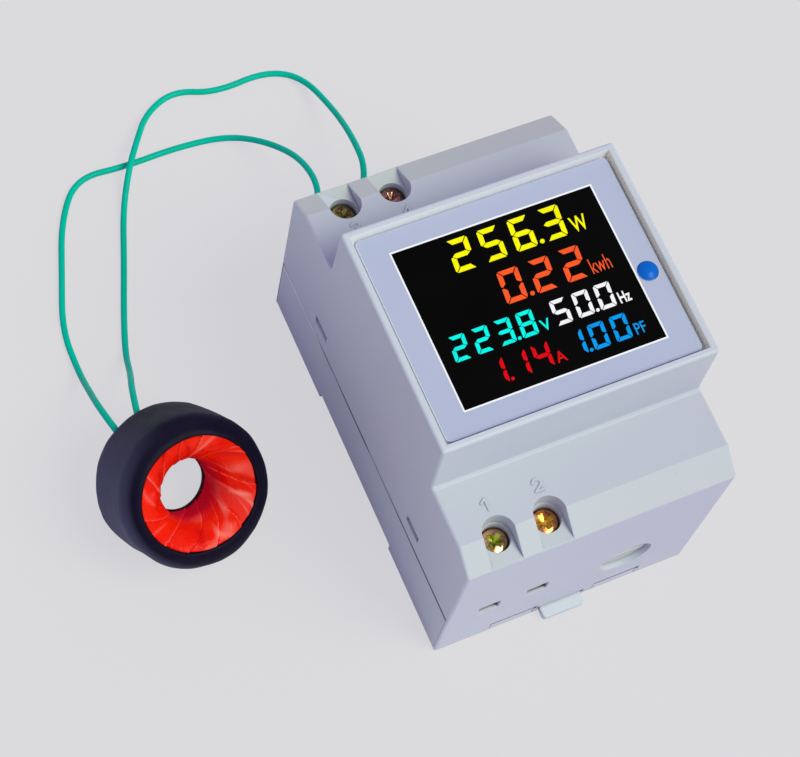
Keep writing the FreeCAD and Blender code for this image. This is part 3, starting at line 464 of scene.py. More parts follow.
def clearAcross(face):
    # how far the face reaches inwards from each of its edges
    points = np.array([v.co for v in face.verts])
    along = np.roll(points, -1, 0) - points
    length = np.linalg.norm(along, axis=1)
    inward = np.cross(np.array(face.normal), along) / np.maximum(length, 1e-12)[:, None]
    reach = np.full(len(points), 1.0)
    for i in range(len(points)):
        axis = along[i] / max(length[i], 1e-12)
        flat = np.stack([(points - points[i]) @ axis, (points - points[i]) @ inward[i]], 1)
        ends = np.roll(flat, -1, 0)
        for share in (0.15, 0.5, 0.85):
            x = length[i] * share
            with np.errstate(divide="ignore", invalid="ignore"):
                t = (x - flat[:, 0]) / (ends[:, 0] - flat[:, 0])
                y = flat[:, 1] + t * (ends[:, 1] - flat[:, 1])
            hit = (t >= 0) & (t <= 1) & (y > 1e-6)
            hit[i] = False
            if hit.any():
                reach[i] = min(reach[i], y[hit].min())
    return reach


def directionFrom(vert, edge):
    return (edge.other_vert(vert).co - vert.co).normalized()


def runFrom(edge, vert, sharp, limit):
    # length of the nearly straight run that leaves a corner along this edge
    total = edge.calc_length()
    while total < limit:
        end = edge.other_vert(vert)
        ahead = directionFrom(vert, edge)
        onward = [other for other in end.link_edges if other in sharp and other is not edge
                  and ahead.dot(directionFrom(end, other)) > softening["straight"]]
        if not onward:
            break
        edge, vert = onward[0], end
        total += edge.calc_length()
    return total


def edgeRuns(sharp):
    # the sharp edges in chains, each from one corner or junction to the next
    left = set(sharp)
    while left:
        run, waiting = [], [left.pop()]
        while waiting:
            edge = waiting.pop()
            run.append(edge)
            for vert in edge.verts:
                meeting = [other for other in vert.link_edges if other in sharp]
                if len(meeting) == 2:
                    waiting += [other for other in meeting if other in left]
                    left.difference_update(meeting)
        yield run


def edgeWeights(mesh, width):
    # an edge is rounded in full only where the faces and corners beside it have room for it
    with reshaped(mesh) as shape:
        weights = shape.edges.layers.float.new("bevel_weight_edge")
        room = {}
        for face in shape.faces:
            for edge, reach in zip([loop.edge for loop in face.loops], clearAcross(face)):
                room[edge] = min(room.get(edge, 1e9), reach)
        sharp = {edge for edge in shape.edges if len(edge.link_faces) == 2
                 and edge.calc_face_angle(0.0) > math.radians(softening["edge"])}
        for edge in sharp:
            for vert in edge.verts:
                along = directionFrom(vert, edge)
                for other in vert.link_edges:
                    if other in sharp and other is not edge \
                            and abs(along.dot(directionFrom(vert, other))) < softening["beside"]:
                        room[edge] = min(room[edge], runFrom(other, vert, sharp, 4 * width))
        # a run of edges shares its narrowest room
        for run in edgeRuns(sharp):
            weight = min(1.0, softening["roomShare"] * min(room[edge] for edge in run) / width)
            for edge in run:
                edge[weights] = weight if weight > softening["least"] else 0.0


def paintLightOnZones(mesh):
    tones = np.ones((len(mesh.polygons), 4))
    for face in mesh.polygons:
        centre = face.center / mm
        for facing, low, high, paintedLight in paintedLightZones:
            inside = all(a <= c <= b for a, c, b in zip(low, centre, high))
            if inside and face.normal.dot(Vector(facing)) > 0.8:
                tones[face.index, :3] = paintedLight
    layer = mesh.attributes.new("paintedLight", "FLOAT_COLOR", "FACE")
    layer.data.foreach_set("color", tones.ravel())


def zonedPaintedLight(tree, colour, look):
    # the colour is multiplied by the painted light and shade given to each zone's faces
    paintedLight = addNode(tree, "ShaderNodeAttribute", attribute_name="paintedLight").outputs["Color"]
    toned = mixColour(tree, 1.0, colour, paintedLight, "MULTIPLY")
    place = objectPlace(tree)
    spot = split(tree, place)
    if "lip" in look:
        # painted highlight along the upper lip of the rear half, where the seam's edge catches the
        # light
        lip = look["lip"]
        share = multiply(tree, mathNode(tree, "GREATER_THAN", spot["Z"], lip["low"]),
                         mathNode(tree, "LESS_THAN", spot["Z"], lip["high"]),
                         remap(tree, spot["Y"], *lip["fade"], 0.0, lip["most"]),
                         remap(tree, cloudy(tree, place, lip["patch"], 2.0), *lip["patchFrom"]))
        toned = mixColour(tree, share, toned, lip["colour"])
    if "sweep" in look:
        # the colour turns slowly cooler and darker towards the right
        across = remap(tree, spot["X"], -look["sweepReach"], look["sweepReach"])
        toned = mixColour(tree, 1.0, toned, ramp(tree, across, look["sweep"]), "MULTIPLY")
    return toned


def softened(node, name, material, body, slotName, width):
    # worked at a thousand times the size, where the rounding is exact, then brought back
    rough = bpy.data.meshes.new(name + "Rough")
    with reshaped(rough, nodes[node].data) as shape:
        bmesh.ops.scale(shape, vec=(softening["scale"],) * 3, verts=shape.verts)
        bmesh.ops.remove_doubles(shape, verts=shape.verts, dist=softening["merge"])
        bmesh.ops.dissolve_limit(shape, angle_limit=math.radians(softening["flat"]),
                                 verts=shape.verts, edges=shape.edges,
                                 use_dissolve_boundaries=False)
    rough.materials.clear()
    smoothByAngle(rough, softening["sharp"])
    edgeWeights(rough, width)
    carrier = newObject(name + "Carrier", rough)
    bevel = carrier.modifiers.new("roundedEdges", "BEVEL")
    bevel.width = width
    bevel.segments = 2
    bevel.limit_method = "WEIGHT"
    bevel.use_clamp_overlap = False
    weighted = carrier.modifiers.new("flatFaces", "WEIGHTED_NORMAL")
    weighted.keep_sharp = True
    weighted.weight = 60
    mesh = evaluated(carrier, name)
    mesh.transform(Matrix.Scale(1 / softening["scale"], 4))
    paintLightOnZones(mesh)
    newPiece(name, mesh, material, body, slotName, (node,))


for node, name, finish, look, tint, body, slotName, width in (
        ("front_housing", "frontHousing", "caseLavenderWhite", "case", zonedPaintedLight, "meter",
         "case_white", 0.14),
        ("rear_base", "rearBase", "baseLavenderWhite", "base", zonedPaintedLight, "meter",
         "case_white", 0.16),
        ("din_clip", "railClip", "clipWhite", "clip", None, "clip", "clip_white", 0.2),
        ("face_plate", "facePlate", "plateLavender", "plate", zonedPaintedLight, "meter",
         "plate_lavender", 0.14),
        ("hole_plug", "holePlug", "plugGrey", "plug", None, "meter", "plug_white", 0.15)):
    softened(node, name, plastic(finish, mouldings[look], tint), body, slotName, width)
print("mouldings finished")


def geometryTree(name, inputs):
    return newGroup(name, "GeometryNodeTree", {"Geometry": "Geometry", **inputs,
                                               "Finish": "Material"}, {"Geometry": "Geometry"})


def finishTree(tree, given, out, geometry):
    real = addNode(tree, "GeometryNodeRealizeInstances", {0: geometry})
    done = addNode(tree, "GeometryNodeSetMaterial", {"Geometry": real.outputs[0],
                                                     "Material": given["Finish"]})
    tree.links.new(done.outputs[0], out[0])
    return tree


def grownMesh(name, tree, values, seed=None):
    carrier = newObject(name + "Carrier", seed or bpy.data.meshes.new(name + "Seed"))
    modifier = carrier.modifiers.new("growth", "NODES")
    modifier.node_group = tree
    for item in tree.interface.items_tree:
        if item.in_out == "INPUT" and item.name in values:
            modifier[item.identifier] = values[item.name]
    return evaluated(carrier, name)


display = {
    "slant": 0.088, "thickness": 0.03, "rise": 0.004, "gap": 0.15,
    "digitWidth": 4.65, "digitHeight": 7.22, "bar": 1.08, "corner": 0.32, "round": 0.09,
    "dot": (3.40, -3.07, 0.50), "smallDot": 0.72,
    "borderWidth": 0.36, "borderRise": 0.03, "borderRound": 0.012, "borderFoot": 0.02,
    "borderStep": 0.05, "unitSharp": 1e-5,
    "sizes": {"large": (6.82, 1.0), "small": (4.95, 0.762)},
    "borderLook": {"colour": (0.95, 0.95, 0.97), "shade": (0.90, 0.91, 0.95), "cloud": 120.0,
                   "grain": 5000.0},
}
glow = {"fine": 6000.0, "coarse": 420.0, "fineShare": 0.25, "dim": 0.86, "dimAt": 0.35,
        "fullAt": 0.75, "strength": 0.95, "body": 0.05, "rough": 0.35, "specular": 0.1}
lens = {"round": 0.08, "smear": 55.0, "smearBend": 0.8, "specular": 0.035, "wave": 30.0,
        "waveDepth": 0.00004, "waveStrength": 0.25,
        "rough": [(0.35, (0.10,) * 3), (0.7, (0.22,) * 3)],
        "black": [(0.3, (0.0018, 0.0016, 0.0014)), (0.8, (0.003, 0.0026, 0.0024))]}
# name, figures, size, left end and middle height, colour, unit with its box and boldness
readings = [
    ("power", "256.3", "large", (-9.08, 13.12), (1.0, 0.98, 0.0),
     ("W", (14.71, 18.27, 9.40, 12.90), 0.012)),
    ("energy", "0.22", "large", (-2.26, 3.28), (1.0, 0.105, 0.02),
     ("kwh", (14.47, 18.88, -0.38, 3.06), -0.004)),
    ("volts", "223.8", "small", (-17.86, -5.47), (0.0, 0.96, 0.84),
     ("V", (-0.62, 1.48, -8.20, -5.75), 0.012)),
    ("hertz", "50.0", "small", (4.57, -5.47), (0.95, 0.96, 1.0),
     ("Hz", (16.91, 19.49, -8.23, -5.75), 0.022)),
    ("amps", "1.14", "small", (-12.91, -12.9), (0.76, 0.0, 0.004),
     ("A", (-0.79, 1.48, -15.50, -13.10), 0.014)),
    ("factor", "1.00", "small", (4.57, -12.9), (0.0, 0.33, 0.88),
     ("PF", (17.00, 19.39, -15.59, -13.10), 0.004)),
]
litBars = {"0": "abcdef", "1": "bc", "2": "abged", "3": "abgcd", "4": "fgbc", "5": "afgcd",
           "6": "afgedc", "8": "abcdefg"}
# outline number and mirroring of each bar: 0 end bar, 1 side bar, 2 middle bar, 3 point
barPlaces = {"a": (0, 1, 1), "d": (0, 1, -1), "f": (1, 1, 1), "e": (1, 1, -1), "b": (1, -1, 1),
             "c": (1, -1, -1), "g": (2, 1, 1)}


def barOutlines():
    w, h = display["digitWidth"] / 2, display["digitHeight"] / 2
    t, c, g = display["bar"], display["corner"], display["gap"]
    end = [(-w + c, h), (w - c, h), (w - t - g, h - t), (-w + t + g, h - t)]
    side = [(-w, h - c - g), (-w + c - g * 0.7, h - g), (-w + t, h - t - g), (-w + t, t / 2 + g),
            (-w + t * 0.3, g * 0.8), (-w, g + t * 0.12)]
    tip, shoulder = w - t * 0.3 - g * 0.5, w - t - g * 0.4
    middle = [(-tip, 0), (-shoulder, t / 2), (shoulder, t / 2), (tip, 0),
              (shoulder, -t / 2), (-shoulder, -t / 2)]
    r = display["dot"][2]
    point = [(r * math.cos(a), r * math.sin(a)) for a in np.linspace(0, fullTurn, 24, False)]
    return [end, side, middle, point]


def outlineCollection():
    group = bpy.data.collections.new("barOutlines")
    for i, points in enumerate(barOutlines()):
        mesh = bpy.data.meshes.new("outline%d" % i)
        with reshaped(mesh) as shape:
            shape.faces.new([shape.verts.new((x * mm, y * mm, 0)) for x, y in points])
            if i < 3:
                bmesh.ops.bevel(shape, geom=list(shape.verts), offset=display["round"] * mm,
                                offset_type="OFFSET", segments=2, profile=0.5, affect="VERTICES")
            thicken(shape, display["thickness"] * mm)
        group.objects.link(bpy.data.objects.new("outline%d" % i, mesh))
    return group


def barTree():
    tree, given, out = geometryTree("litBars", {"Outlines": "Collection", "Slant": 0.09,
                                                "Row": 0.0})
    shapes = addNode(tree, "GeometryNodeCollectionInfo", {"Collection": given["Outlines"],
                                                          "Separate Children": True})
    which = addNode(tree, "GeometryNodeInputNamedAttribute", {"Name": "outline"}, data_type="INT")
    mirror = addNode(tree, "GeometryNodeInputNamedAttribute", {"Name": "mirror"},
                     data_type="FLOAT_VECTOR")
    placed = addNode(tree, "GeometryNodeInstanceOnPoints", {
        "Points": given["Geometry"], "Instance": shapes.outputs[0], "Pick Instance": True,
        "Instance Index": which.outputs[0], "Scale": mirror.outputs[0]})
    real = addNode(tree, "GeometryNodeRealizeInstances", {0: placed.outputs[0]})
    # each row leans about its own middle height
    height = split(tree, addNode(tree, "GeometryNodeInputPosition").outputs[0])["Y"]
    lean = multiply(tree, mathNode(tree, "SUBTRACT", height, given["Row"]), given["Slant"])
    leaned = addNode(tree, "GeometryNodeSetPosition", {"Geometry": real.outputs[0],
                                                       "Offset": joined(tree, lean)})
    return finishTree(tree, given, out, leaned.outputs[0])


def segmentMaterial(name, colour):
    material, tree, shader = newMaterial(name)
    place = objectPlace(tree)
    both = mathNode(tree, "MULTIPLY_ADD", cloudy(tree, place, glow["fine"], 1.0),
                    glow["fineShare"], cloudy(tree, place, glow["coarse"], 2.0))
    dim = tuple(c * glow["dim"] for c in colour)
    setInputs(tree, shader, {
        "Emission Color": ramp(tree, both, [(glow["dimAt"], dim), (glow["fullAt"], colour)]),
        "Emission Strength": glow["strength"],
        "Base Color": tuple(c * glow["body"] for c in colour),
        "Roughness": glow["rough"], "Specular IOR Level": glow["specular"]})
    return material


def seedPoints(name, figures, size, start, height):
    points, kinds, mirrors = [], [], []
    pitch, scale = display["sizes"][size]
    dotX, dotY, _ = display["dot"]
    column = -1
    for figure in figures:
        if figure == ".":
            factor = scale if scale == 1.0 else display["smallDot"]
            points.append((start[0] + column * pitch + dotX * factor, start[1] + dotY * scale))
            kinds.append(3)
            mirrors.append((scale, scale, 1))
            continue
        column += 1
        for bar in litBars[figure]:
            kind, sx, sy = barPlaces[bar]
            points.append((start[0] + column * pitch, start[1]))
            kinds.append(kind)
            mirrors.append((sx * scale, sy * scale, 1))
    mesh = bpy.data.meshes.new(name + "Points")
    mesh.from_pydata([(x * mm, y * mm, height) for x, y in points], [], [])
    mesh.attributes.new("outline", "INT", "POINT").data.foreach_set("value", kinds)
    mesh.attributes.new("mirror", "FLOAT_VECTOR", "POINT").data.foreach_set(
        "vector", np.array(mirrors, float).ravel())
    return mesh


def unitMesh(text, area, weight, height):
    curve = bpy.data.curves.new("unit", "FONT")
    curve.body = text
    curve.size = 1.0
    curve.offset = weight
    curve.resolution_u = 4
    mesh = evaluated(newObject("unit", curve), "unit")
    x0, x1, y0, y1 = area
    with reshaped(mesh) as shape:
        bmesh.ops.remove_doubles(shape, verts=shape.verts, dist=display["unitSharp"])
        thicken(shape, 1.0)
        xs = [v.co.x for v in shape.verts]
        ys = [v.co.y for v in shape.verts]
        for v in shape.verts:
            v.co.x = (x0 + (v.co.x - min(xs)) / (max(xs) - min(xs)) * (x1 - x0)) * mm
            v.co.y = (y0 + (v.co.y - min(ys)) / (max(ys) - min(ys)) * (y1 - y0)) * mm
            v.co.z = height + v.co.z * display["thickness"] * mm
    return mesh


def lensMaterial():
    material, tree, shader = newMaterial("lensBlack")
    place = objectPlace(tree)
    smear = cloudy(tree, place, lens["smear"], 5.0, distortion=lens["smearBend"])
    setInputs(tree, shader, {
        "Roughness": ramp(tree, smear, lens["rough"]),
        "Base Color": ramp(tree, smear, lens["black"]), "Specular IOR Level": lens["specular"]})
    bumpOn(tree, shader, cloudy(tree, place, lens["wave"], 1.0), lens["waveDepth"],
           lens["waveStrength"])
    return material


def makeLens():
    mesh = bpy.data.meshes.new("displayLens")
    with reshaped(mesh, nodes["display_window"].data) as shape:
        bmesh.ops.remove_doubles(shape, verts=shape.verts, dist=0.000002)
        bmesh.ops.dissolve_limit(shape, angle_limit=0.01, verts=shape.verts, edges=shape.edges)
        bmesh.ops.bevel(shape, geom=list(shape.edges), offset=lens["round"] * mm,
                        segments=3, profile=0.5, affect="EDGES")
    mesh.materials.clear()
    smoothByAngle(mesh, 50)
    newPiece("displayLens", mesh, lensMaterial(), "meter", "window_black", ("display_window",))


def makeBorder(low, high):
    # printed white line round the lens
    w = display["borderWidth"] * mm
    top = high.z + display["borderStep"] * mm + display["borderRise"] * mm
    base = high.z - display["borderFoot"] * mm
    inner = [(low.x, low.y), (high.x, low.y), (high.x, high.y), (low.x, high.y)]
    outer = [(x + (w if x > 0 else -w), y + (w if y > 0 else -w)) for x, y in inner]
    mesh = bpy.data.meshes.new("lensBorder")
    with reshaped(mesh) as shape:
        rings = [[shape.verts.new((x, y, z)) for x, y in points]
                 for points, z in ((inner, base), (inner, top), (outer, top), (outer, base))]
        for a, b in zip(rings, rings[1:] + rings[:1]):
            for i in range(4):
                j = (i + 1) % 4
                shape.faces.new((a[i], b[i], b[j], a[j]))
        bmesh.ops.recalc_face_normals(shape, faces=shape.faces)
        bmesh.ops.bevel(shape, geom=list(shape.edges), offset=display["borderRound"] * mm,
                        segments=2, profile=0.5, affect="EDGES")
    newPiece("lensBorder", mesh, plastic("borderWhite", display["borderLook"]), "meter",
             "case_white")


def makeReadings(height):
    outlines = outlineCollection()
    tree = barTree()
    for name, figures, size, start, colour, unit in readings:
        finish = segmentMaterial(name + "Light", colour)
        bars = grownMesh(name + "Digits", tree, {
            "Outlines": outlines, "Slant": display["slant"], "Row": start[1] * mm,
            "Finish": finish}, seedPoints(name, figures, size, start, height))
        newPiece(name + "Digits", outwards(bars), finish, "meter", "lcd_glass")
        newPiece(name + "Unit", unitMesh(*unit, height), finish, "meter", "lcd_glass")
    for item in list(outlines.objects):
        bpy.data.objects.remove(item)
    bpy.data.collections.remove(outlines)


lensLow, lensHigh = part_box("display_window")
makeLens()
makeBorder(lensLow, lensHigh)
makeReadings(lensHigh.z + display["rise"] * mm)
print("display lit")


# side is the colour of the painted highlight on the button's sides
button = {"colour": (0.0, 0.135, 0.62), "shade": (0.0, 0.09, 0.50), "cloud": 300.0, "clouds": 1.0,
          "rough": 0.30, "grain": 2500.0, "coat": 0.06, "coatRough": 0.12, "specular": 0.1,
          "depth": 0.00001, "side": (0.50, 0.72, 0.95), "sideFacing": (0.25, 0.75)}


def paintNode(node, material):
    mesh = nodes[node].data
    mesh.materials.clear()
    mesh.materials.append(material)


def buttonEdgeHighlight(tree, colour, look):
    # painted highlight: the sides of the button are pale, where the light catches its rounded edge
    facing = split(tree, addNode(tree, "ShaderNodeNewGeometry").outputs["Normal"])["Z"]
    return mixColour(tree, remap(tree, facing, *look["sideFacing"], 1.0, 0.0), colour, look["side"])


paintNode("reset_button", plastic("buttonBlue", button, buttonEdgeHighlight))


screwLook = {
    "headRadius": 2.8, "headHeight": 2.2, "crown": 0.85, "rim": 0.4, "foot": 0.12,
    "shankRadius": 1.5, "neck": 1.0, "point": 0.2, "threadPitch": 0.5, "threadDepth": 0.12,
    "slotWidth": 0.7, "slotDepth": 0.5, "armLength": 2.35, "armWidth": 1.6, "armDepth": 1.05,
    "armNarrow": 0.3, "armSunk": 0.94, "recessRadius": 0.00255, "recessFrom": (-0.00025, -0.00008),
    "metal": (0.95, 0.75), "film": 480.0, "filmBend": 1.6, "scratch": 3200.0,
    "scratchDepth": 0.00003, "scratchStrength": 0.4,
    "rough": [(0.3, (0.10,) * 3), (0.75, (0.24,) * 3)],
}
# turn of each head, then the tones of its film and of its recess
screwFinish = {
    1: (38.0, [(0.35, (0.50, 0.22, 0.10)), (0.45, (0.80, 0.52, 0.28)),
               (0.52, (0.60, 0.18, 0.20)), (0.62, (0.75, 0.60, 0.18))],
        [(0.4, (0.20, 0.23, 0.01)), (0.6, (0.60, 0.68, 0.08))]),
    2: (12.0, [(0.35, (0.50, 0.12, 0.05)), (0.45, (0.85, 0.42, 0.10)),
               (0.52, (0.62, 0.16, 0.08)), (0.62, (0.90, 0.60, 0.18))],
        [(0.4, (0.55, 0.26, 0.01)), (0.6, (0.95, 0.62, 0.08))]),
    # the tones of 3 and 4 are darker, painted shade for their deeper pockets
    3: (55.0, [(0.35, (0.20, 0.10, 0.06)), (0.45, (0.50, 0.32, 0.18)),
               (0.52, (0.22, 0.12, 0.05)), (0.62, (0.55, 0.45, 0.16))],
        [(0.4, (0.07, 0.06, 0.01)), (0.6, (0.50, 0.42, 0.10))]),
    4: (80.0, [(0.35, (0.30, 0.12, 0.09)), (0.45, (0.50, 0.26, 0.20)),
               (0.52, (0.28, 0.10, 0.08)), (0.62, (0.58, 0.34, 0.27))],
        [(0.4, (0.14, 0.05, 0.03)), (0.6, (0.48, 0.25, 0.18))]),
}


def screwProfile(length):
    # outline of head and threaded shank, drawn from the axis outwards
    r, h, rim, foot = (screwLook[key] for key in ("headRadius", "headHeight", "rim", "foot"))
    points = [(0.0, h)]
    for a in np.linspace(0.25, 1.0, 5):
        points.append(((r - rim) * a, h - screwLook["crown"] * a * a * 0.5))
    top = points[-1][1]
    for a in np.linspace(0.2, 1.0, 5) * math.pi / 2:
        points.append((r - rim * (1 - math.sin(a)), top - rim * (1 - math.cos(a))))
    shank, pitch = screwLook["shankRadius"], screwLook["threadPitch"]
    z = -screwLook["neck"]
    points += [(r, foot), (r - foot, 0.0), (shank, 0.0), (shank, z)]
    while z > -length + pitch:
        points += [(shank - screwLook["threadDepth"], z - pitch * 0.35), (shank, z - pitch * 0.5),
                   (shank, z - pitch * 0.65)]
        z -= pitch
    return points + [(shank - screwLook["point"], -length), (0.0, -length)]


def transformed(tree, geometry, **values):
    inputs = {key.capitalize(): value for key, value in values.items()}
    return addNode(tree, "GeometryNodeTransform", {"Geometry": geometry, **inputs}).outputs[0]


def screwTree():
    # all in millimetres, so that the cuts are exact, and scaled at the end
    tree, given, out = geometryTree("terminalScrew", {
        "Profile": "Object", "Turn": 0.0, "Slot Width": 1.0, "Slot Depth": 1.0, "Arm Width": 1.0,
        "Arm Length": 3.0, "Arm Depth": 1.5, "Head Radius": 3.0, "Top": 2.0, "Place": "Vector"})
    outline = addNode(tree, "GeometryNodeObjectInfo", {"Object": given["Profile"]})
    profile = addNode(tree, "GeometryNodeMeshToCurve", {"Mesh": outline.outputs["Geometry"]})
    circle = addNode(tree, "GeometryNodeCurvePrimitiveCircle", {"Resolution": 56,
                                                                "Radius": given["Head Radius"]})
    turned = addNode(tree, "GeometryNodeCurveToMesh", {"Curve": circle.outputs[0],
                                                       "Profile Curve": profile.outputs[0]})
    cut = addNode(tree, "GeometryNodeMergeByDistance", {"Geometry": turned.outputs[0],
                                                        "Distance": 0.001})
    top = joined(tree, z=given["Top"])

    def slot():
        size = joined(tree, multiply(tree, given["Head Radius"], 2.4), given["Slot Width"],
                      multiply(tree, given["Slot Depth"], 2.0))
        cube = addNode(tree, "GeometryNodeMeshCube", {"Size": size})
        return transformed(tree, cube.outputs[0], translation=top)

    def arm(degrees):
        # a wedge that is deepest in the middle, so two of them make a cross recess
        wedge = addNode(tree, "GeometryNodeMeshCone", {
            "Vertices": 4, "Radius Top": 1.414, "Radius Bottom": screwLook["armNarrow"],
            "Depth": 1.0})
        square = transformed(tree, wedge.outputs[0], rotation=(0.0, 0.0, math.radians(45.0)),
                             translation=(0.0, 0.0, -screwLook["armSunk"]))
        size = joined(tree, given["Arm Length"], multiply(tree, given["Arm Width"], 0.5),
                      given["Arm Depth"])
        sized = transformed(tree, square, scale=size)
        return transformed(tree, sized, translation=top, rotation=(0.0, 0.0, math.radians(degrees)))

    # one cut after the other: the three shapes overlap in the middle
    for tool in (arm(0.0), arm(90.0), slot()):
        cut = addNode(tree, "GeometryNodeMeshBoolean", {0: cut.outputs[0], 1: tool},
                      operation="DIFFERENCE", solver="EXACT")
    placed = transformed(tree, cut.outputs[0], rotation=joined(tree, z=given["Turn"]),
                         translation=given["Place"], scale=(mm,) * 3)
    return finishTree(tree, given, out, placed)


def zincMaterial(name, land, recess, top):
    material, tree, shader = newMaterial(name)
    place = objectPlace(tree)
    film = cloudy(tree, place, screwLook["film"], 3.0, distortion=screwLook["filmBend"])
    # depth below the crowned top of the head, within its rim
    offset = vectorMath(tree, "SUBTRACT", place, top)
    out = vectorMath(tree, "LENGTH", vectorMath(tree, "MULTIPLY", offset, (1.0, 1.0, 0.0)))
    crown = screwLook["crown"] / 2 / (screwLook["headRadius"] - screwLook["rim"]) ** 2 / mm
    below = mathNode(tree, "ADD", split(tree, offset)["Z"], multiply(tree, out, out, crown))
    cut = remap(tree, below, *screwLook["recessFrom"], 1.0, 0.0)
    within = mathNode(tree, "LESS_THAN", out, screwLook["recessRadius"])
    depth = multiply(tree, cut, within)
    scratch = cloudy(tree, place, screwLook["scratch"], 3.0)
    setInputs(tree, shader, {
        "Base Color": mixColour(tree, depth, ramp(tree, film, land), ramp(tree, film, recess)),
        "Roughness": ramp(tree, scratch, screwLook["rough"]),
        "Metallic": remap(tree, depth, 0.0, 1.0, *screwLook["metal"])})
    bumpOn(tree, shader, scratch, screwLook["scratchDepth"], screwLook["scratchStrength"])
    return material


def makeScrews():
    top, radius = screwLook["headHeight"], screwLook["headRadius"]
    low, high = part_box("terminal_screw_1")
    points = screwProfile((high.z - low.z) / mm - top)
    outline = bpy.data.meshes.new("screwOutline")
    outline.from_pydata([(x - radius, -y, 0) for x, y in points],
                        [(i, i + 1) for i in range(len(points) - 1)], [])
    profile = newObject("screwOutline", outline)
    tree = screwTree()
    for n, (turn, land, recess) in screwFinish.items():
        node, name = "terminal_screw_%d" % n, "terminalScrew%d" % n
        low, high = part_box(node)
        x, y = (low.x + high.x) / 2, (low.y + high.y) / 2
        finish = zincMaterial("zinc%d" % n, land, recess, (x, y, high.z))
        mesh = grownMesh(name, tree, {
            "Profile": profile, "Turn": math.radians(turn), "Head Radius": radius, "Top": top,
            "Slot Width": screwLook["slotWidth"], "Slot Depth": screwLook["slotDepth"],
            "Arm Width": screwLook["armWidth"], "Arm Length": screwLook["armLength"],
            "Arm Depth": screwLook["armDepth"], "Place": (x, y, high.z - top * mm),
            "Finish": finish})
        outwards(mesh)
        smoothByAngle(mesh, 30)
        newPiece(name, mesh, finish, "screw_%d" % n, "screw_zinc", (node,))
    bpy.data.objects.remove(profile)


makeScrews()
print("screws cut")


ring = {
    "centre": (-70.4, 5.1, 14.4665), "axis": (0.134902, -0.603515, 0.785857),
    "up": (-0.1714, 0.7669, 0.6184), "right": (0.976, 0.218, 0.0),
    "radius": 17.0, "length": 21.0, "shoulder": 4.2, "mouth": 12.4, "wall": 1.0,
    "bore": 6.25, "throat": 5.0, "sink": 0.5, "tapeWall": 0.5,
    "around": 320, "lip": 0.45, "lumps": 0.33, "ripple": 0.05, "groove": 0.34,
    "grooveRadius": 14.9, "grooveWidth": 1.3, "slack": 0.14, "flats": 0.12, "wobble": 0.12,
    "oval": 0.8,
    "wraps": 12, "step": 0.24, "twist": -0.65, "folds": 34, "foldHeight": 0.12, "deepest": 0.46,
    "tailStart": -3.1, "tailWall": 0.12, "tailCover": 0.16, "pressed": 0.3,
}


def ringPlace():
    axis = Vector(ring["axis"])
    side = Vector(ring["up"]).cross(axis).normalized()
    up = axis.cross(side).normalized()
    turn = Matrix((side, up, axis)).transposed().to_4x4()
    return Matrix.Translation(Vector(ring["centre"]) * mm) @ turn @ Matrix.Scale(mm, 4)


def arcPoints(a, b, hub, count):
    # points from a to b on a circle round the hub, the short way
    start = math.atan2(a[1] - hub[1], a[0] - hub[0])
    end = math.atan2(b[1] - hub[1], b[0] - hub[0])
    if end - start > math.pi:
        end -= fullTurn
    if start - end > math.pi:
        end += fullTurn
    r = math.dist(a, hub)
    return [(hub[0] + r * math.cos(t), hub[1] + r * math.sin(t))
            for t in np.linspace(start, end, count)]


def mirrored(points):
    return [(r, -z) for r, z in reversed(points)]


def turnedShell(name, surface, inner, displace, drift, paintedLight=None):
    # surface and inner are (radius, height) outlines that together close into a ring
    outline = np.array(surface + inner, float)
    count, around, outer = len(outline), ring["around"], len(surface)
    ahead = np.roll(outline, -1, 0) - np.roll(outline, 1, 0)
    normal = np.stack([ahead[:, 1], -ahead[:, 0]], 1)
    normal /= np.linalg.norm(normal, axis=1)[:, None]
    angle = np.linspace(0, fullTurn, around, False)
    steps = np.concatenate([[0], np.cumsum(np.linalg.norm(np.diff(outline, axis=0), axis=1))])
    amount = np.zeros((count, around))
    amount[:outer] = displace(steps[:outer], angle, outline[:outer])
    shiftR, shiftZ = drift(outline, angle)
    r = outline[:, :1] + amount * normal[:, :1] + shiftR
    z = outline[:, 1:] + amount * normal[:, 1:] + shiftZ
    points = np.stack([r * np.cos(angle), r * np.sin(angle), z], -1).reshape(-1, 3)
    faces = []
    for i in range(count):
        j = (i + 1) % count
        for k in range(around):
            m = (k + 1) % around
            faces.append((i * around + k, j * around + k, j * around + m, i * around + m))
    mesh = bpy.data.meshes.new(name)
    mesh.from_pydata(points.tolist(), [], faces)
    if paintedLight is not None:
        values = np.zeros((count, around))
        values[:outer] = paintedLight(steps[:outer], angle, outline[:outer])
        mesh.attributes.new("paintedLight", "FLOAT", "POINT").data.foreach_set("value", values.ravel())
    mesh.transform(ringPlace())
    outwards(mesh)
    smoothByAngle(mesh, 60)
    return mesh


def clamped(value):
    return np.clip(value, 0, 1)


def hump(offset, width):
    return np.exp(-(offset / width) ** 2)


def smoothNoise(points, seed):
    shift = Vector((seed * 3.7, seed * 1.3, -seed * 2.1))
    values = [noise.noise(Vector(p) + shift) for p in points.reshape(-1, 3)]
    return np.array(values).reshape(points.shape[:-1])


def sleeveOutline():
    R, half, s, m = ring["radius"], ring["length"] / 2, ring["shoulder"], ring["mouth"]
    w, lip = ring["wall"], ring["lip"]
    hub = (R - s, half - s)
    front = [(m, half - 1.0 + 0.02)]
    front += arcPoints((m, half - lip), (m + lip, half), (m + lip, half - lip), 7)
    front += arcPoints((hub[0] + 0.3, half), (R, hub[1]), hub, 22)[1:]
    side = [(R, z) for z in np.linspace(hub[1], -hub[1], 24)[1:-1]]
    inner = [(m + 0.05, -half + w), (hub[0], -half + w)]
    inner += arcPoints((hub[0], -half + w), (R - w, -hub[1]), (hub[0], -hub[1]), 8)[1:]
    return front + side + mirrored(front), inner + mirrored(inner)


